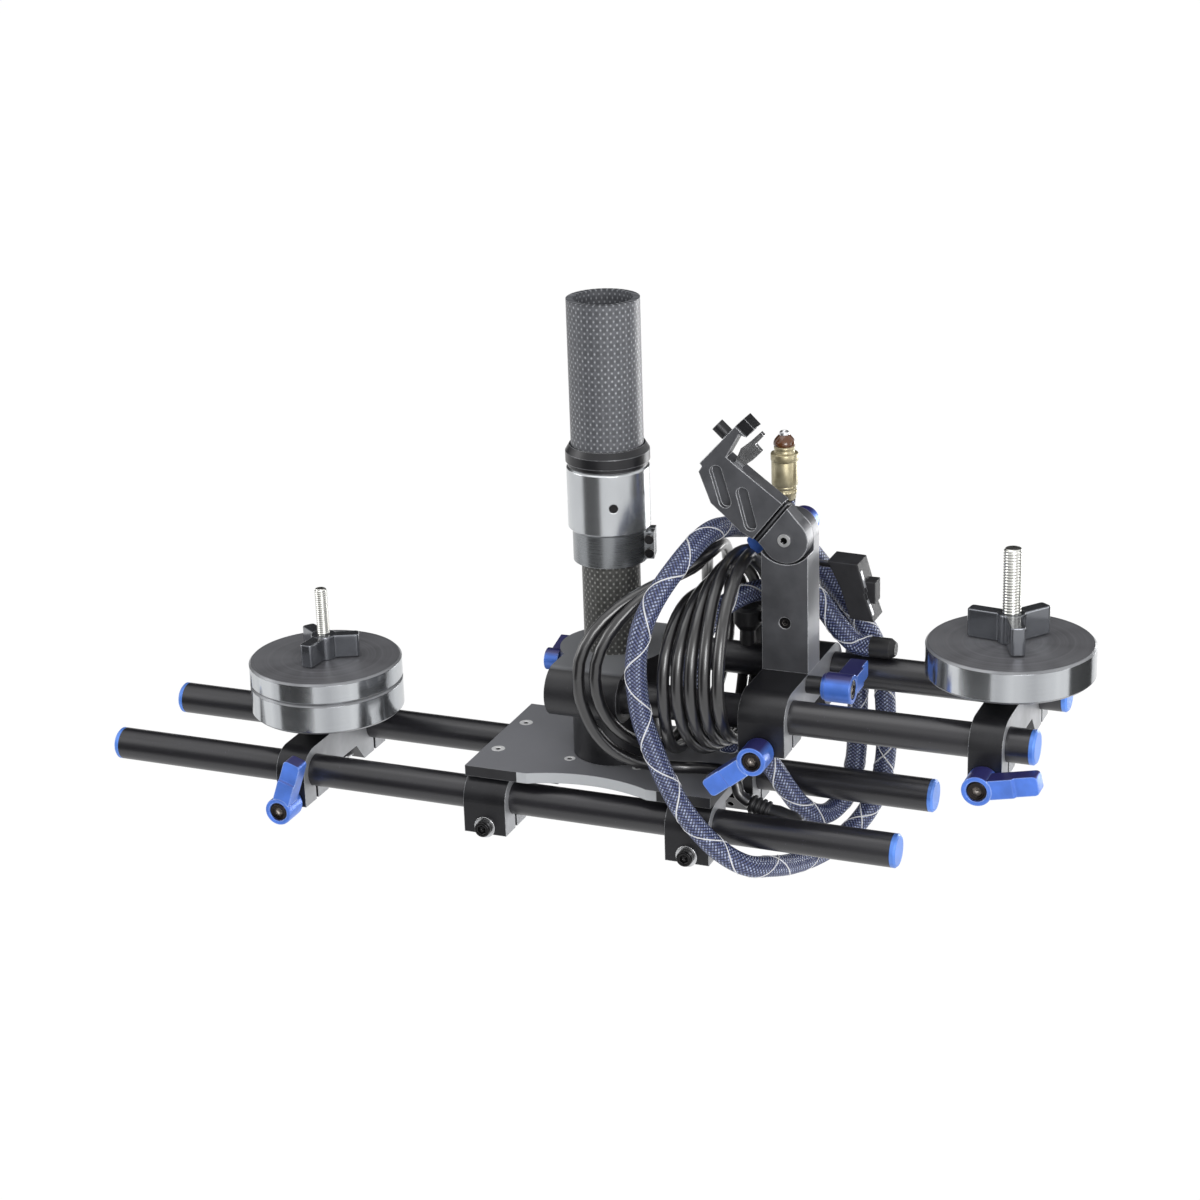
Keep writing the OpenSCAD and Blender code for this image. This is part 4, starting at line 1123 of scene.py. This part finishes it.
def addKnuckle():
    # cheek with the hinge's hole, and the set-back seat between it and the head, black as painted shade in
    # the gap
    turns = {2 * math.pi * k / 120 for k in range(120)}
    turns |= {math.atan2(y, x) % (2 * math.pi) for x, y in knuckle["corners"]}
    whole, eased = knuckleReach(0), knuckleReach(0.25)
    head, bore = knuckle["head"], knuckle["bore"]
    placed = Matrix.Translation(deck(monitorX, 0, hingeHeight)) @ turned(x=90)
    shape = bmesh.new()
    spun(shape, [
        (eased, -0.5), (whole, -0.25), (whole, 7.75), (eased, 8), (head, 8), (head, 6.7), (bore, 6.7),
        (bore, -0.5), (eased, -0.5),
    ], turns=sorted(turns))
    addShape("headKnuckleCheek", shape, placed, "head", "dark", ["head_knuckle"])
    slant = math.radians(knuckle["slant"])
    (left, right), (low, high) = knuckle["seat"], knuckle["seatOut"]
    seat = [(a * math.cos(slant) - o * math.sin(slant), a * math.sin(slant) + o * math.cos(slant))
            for a, o in ((left, low), (right, low), (right, high), (left, high))]
    # the seat's black finish is painted shade in the gap between knuckle and head
    shape = bmesh.new()
    slab(shape, seat, 0, 7.5, upright=True)
    placed = Matrix.Translation(deck(monitorX, 0, hingeHeight))
    addShape("headKnuckleSeat", shape, placed, "head", "black")


addKnuckle()
print("head knuckle built")


def addConnector():
    # crimped base, plated shell with a flange, and the domed insulator with its socket
    placed = Matrix.Translation(deck(*connector["place"]))
    grip = ribbedReach(5.2, 0.2, 18)
    shape = bmesh.new()
    spun(shape, [
        (4.2, 0), (4.9, 0.5), (5.1, 2.9), (grip, 3.1), (grip, 4.4), (4.7, 4.6), (4.7, 5.2), (5.4, 5.45),
        (5.5, 5.7), (5.5, 6.5), (5.3, 6.8), (5.75, 7.0), (5.8, 7.3), (5.8, 17.6), (5.65, 17.9), (6.0, 18.05),
        (6.1, 18.3), (6.1, 20.9), (5.9, 21.3), (4.9, 21.4), (4.6, 21.5), (4.6, 22.1), (4.4, 22.4),
        (4.4, 23.0), (4.6, 23.3), (4.6, 24.5), (3.0, 24.6),
    ], 72)
    shell = addShape(
        "connectorShell", shape, placed, "sled_base", "gold", ["gold_connector"], even=False)
    shape = bmesh.new()
    spun(shape, [
        (3.4, 24.4), (4.5, 24.5), (4.85, 25.1), (4.9, 25.7), (4.7, 26.6), (4.2, 27.5), (3.4, 28.5),
        (2.6, 29.3), (1.9, 29.7), (0.6, 29.75),
    ])
    dome = addShape("connectorDome", shape, placed, "sled_base", "dome", even=False)
    shape = bmesh.new()
    spun(shape, [
        (2.2, 29.2), (2.3, 29.5), (2.1, 30.6), (1.8, 31), (1.15, 31), (1.0, 30.8), (1.0, 29.9), (0.2, 29.85),
    ], 32)
    tip = addShape("connectorTip", shape, placed, "sled_base", "steel", even=False)
    return [shell, dome, tip]


connectorParts = addConnector()

strain = {"place": (70.2, -18.3, 7.4), "turn": 107, "ribs": 4, "ribPitch": 2.3}


def addRelief():
    # ribbed boot that widens to a plain sleeve
    shape = bmesh.new()
    profile = [(2.9, 0), (3.6, 0.1)]
    for k in range(strain["ribs"]):
        z = 0.8 + strain["ribPitch"] * k
        profile += [(3.6, z - 0.1), (4.25, z), (4.4, z + 0.25)]
        profile += [(4.4, z + 1.05), (4.25, z + 1.3), (3.6, z + 1.4)]
    profile += [(3.6, 10), (4.3, 13), (4.3, 20.8), (4.2, 21.2), (3.1, 23.8), (2.7, 24)]
    spun(shape, profile)
    placed = Matrix.Translation(deck(*strain["place"])) @ turned(y=strain["turn"])
    return addShape(
        "reliefBoot", shape, placed, "sled_base", "dull", ["strain_relief"], even=False)


reliefPiece = addRelief()

outlet = {
    "outline": [(94.5, 111), (108.2, 110.6), (112, 97.5), (111.2, 97.3), (115.8, 84.5), (105, 85.3),
                (100.6, 99)],
    "front": 17.5,
    "depth": 14,
    "side": [(111, 92), (115.5, 92), (115.5, 102), (110.6, 102)],
    "bars": [((109.45, 107.2), (111.55, 99.8)), ((112.6, 94.3), (115.1, 87.2))],
}


def addOutletBox():
    # leaning shell with a sunk front and two pale bars on its right side
    front, depth = outlet["front"], outlet["depth"]
    placed = Matrix.Translation(deck(0, 0, 0))
    shape = bmesh.new()
    faces = slab(shape, outlet["outline"], -front - depth, -front, upright=True)
    bevelled(shape, sharpEdges(shape, faces), 0.5, 3)
    shape.normal_update()
    facing = max(shape.faces, key=lambda f: (round(-f.normal.y, 3), f.calc_area()))
    bmesh.ops.inset_region(shape, faces=[facing], thickness=1.5 * mm, depth=0)
    bmesh.ops.inset_region(shape, faces=[facing], thickness=0.25 * mm, depth=-1.3 * mm)
    block = slab(shape, outlet["side"], -front - 11, -front - 3, upright=True)
    bevelled(shape, sharpEdges(shape, block), 0.4, 2)
    shell = addShape("outletShell", shape, placed, "sled_base", "outlet", ["outlet_box"])
    shape = bmesh.new()
    for (xa, za), (xb, zb) in outlet["bars"]:
        outline = [(xa, za), (xb, zb), (xb - 1.2, zb - 0.3), (xa - 1.2, za - 0.3)]
        bar = slab(shape, outline, -front - 3.4, -front - 0.9, upright=True)
        bevelled(shape, sharpEdges(shape, bar), 0.2, 2)
    bars = addShape("outletBars", shape, placed, "sled_base", "outletBar")
    return [shell, bars]


outletParts = addOutletBox()
print("connector, strain relief and outlet box built")

# floor, light


def addFlat(name, corners, paint):
    # one flat face for the floor or a card
    mesh = bpy.data.meshes.new(name)
    mesh.from_pydata(corners, [], [(0, 1, 2, 3)])
    mesh.materials.append(paint.material)
    flat = bpy.data.objects.new(name, mesh)
    bpy.context.scene.collection.objects.link(flat)
    return flat


floorPlace = {"half": 8, "height": -0.62}


def addFloor():
    paint = Paint("paleFloor")
    matt = paint.add("ShaderNodeBsdfDiffuse", None, {"Color": (0.86, 0.86, 0.86, 1)})
    glow = paint.add("ShaderNodeEmission", None, {"Color": (1, 1, 1, 1), "Strength": 1.03})
    paint.output(paint.add("ShaderNodeMixShader", None, {0: paint.seenDirectly() * 0.97, 1: matt, 2: glow}))
    half, height = floorPlace["half"], floorPlace["height"]
    corners = ((-half, -half), (half, -half), (half, half), (-half, half))
    addFlat("floor", [(x, y, height) for x, y in corners], paint)


lampAim = (0, 0, -0.14)
lamps = {
    "overhead": {"at": (-0.25, -0.2, 1.3), "size": 1.0, "watts": 4},
    "front": {"at": (1.0, -1.4, 0.45), "size": 0.8, "watts": 18},
    "left": {"at": (-1.4, -0.5, 0.4), "size": 0.7, "watts": 6},
    "right": {"at": (1.6, 0.3, 0.0), "size": 0.8, "watts": 8},
    "lowBack": {"at": (0.7, 1.35, -0.3), "size": 0.6, "watts": 8},
}


def addLamp(name, lamp):
    light = bpy.data.lights.new(name, "AREA")
    light.shape = "SQUARE"
    light.size = lamp["size"]
    light.energy = lamp["watts"]
    holder = bpy.data.objects.new(name, light)
    bpy.context.scene.collection.objects.link(holder)
    holder.visible_camera = False
    holder.location = lamp["at"]
    holder.rotation_euler = (Vector(lampAim) - Vector(lamp["at"])).to_track_quat("-Z", "Y").to_euler()


# dark cards that only polished metal shows, turned from the camera's line
cards = {
    "leftCard": {"turn": -50, "distance": 0.95, "width": 0.9, "foot": -0.61, "height": 0.75},
    "rightCard": {"turn": 96, "distance": 0.95, "width": 0.8, "foot": -0.61, "height": 0.75},
    "backCard": {"turn": 180, "distance": 1.3, "width": 3.2, "foot": -0.12, "height": 1.5},
}


def addCard(name, card):
    paint = Paint(name)
    paint.output(paint.add("ShaderNodeBsdfDiffuse", None, {"Color": (0.02, 0.02, 0.02, 1)}))
    turn = math.radians(camera["turn"] + card["turn"])
    away = Vector((math.sin(turn), -math.cos(turn), 0))
    side = Vector((0, 0, 1)).cross(away) * card["width"] / 2
    low, up = away * card["distance"] + Vector((0, 0, card["foot"])), Vector((0, 0, card["height"]))
    flat = addFlat(name, [low - side, low + side, low + side + up, low - side + up], paint)
    flat.visible_camera = flat.visible_diffuse = flat.visible_shadow = flat.visible_transmission = False


def addWorld():
    world = bpy.data.worlds.new("studio")
    bpy.context.scene.world = world
    paint = Paint("studio", world)
    strength = paint.seenDirectly() * 0.65 + 0.35
    glow = paint.add("ShaderNodeBackground", None, {"Color": (1, 1, 1, 1), "Strength": strength})
    paint.output(glow, "ShaderNodeOutputWorld")


addFloor()
for name, lamp in lamps.items():
    addLamp(name, lamp)
for name, card in cards.items():
    addCard(name, card)
addWorld()
bpy.context.scene.view_settings.view_transform = "Standard"
print("floor and light set")
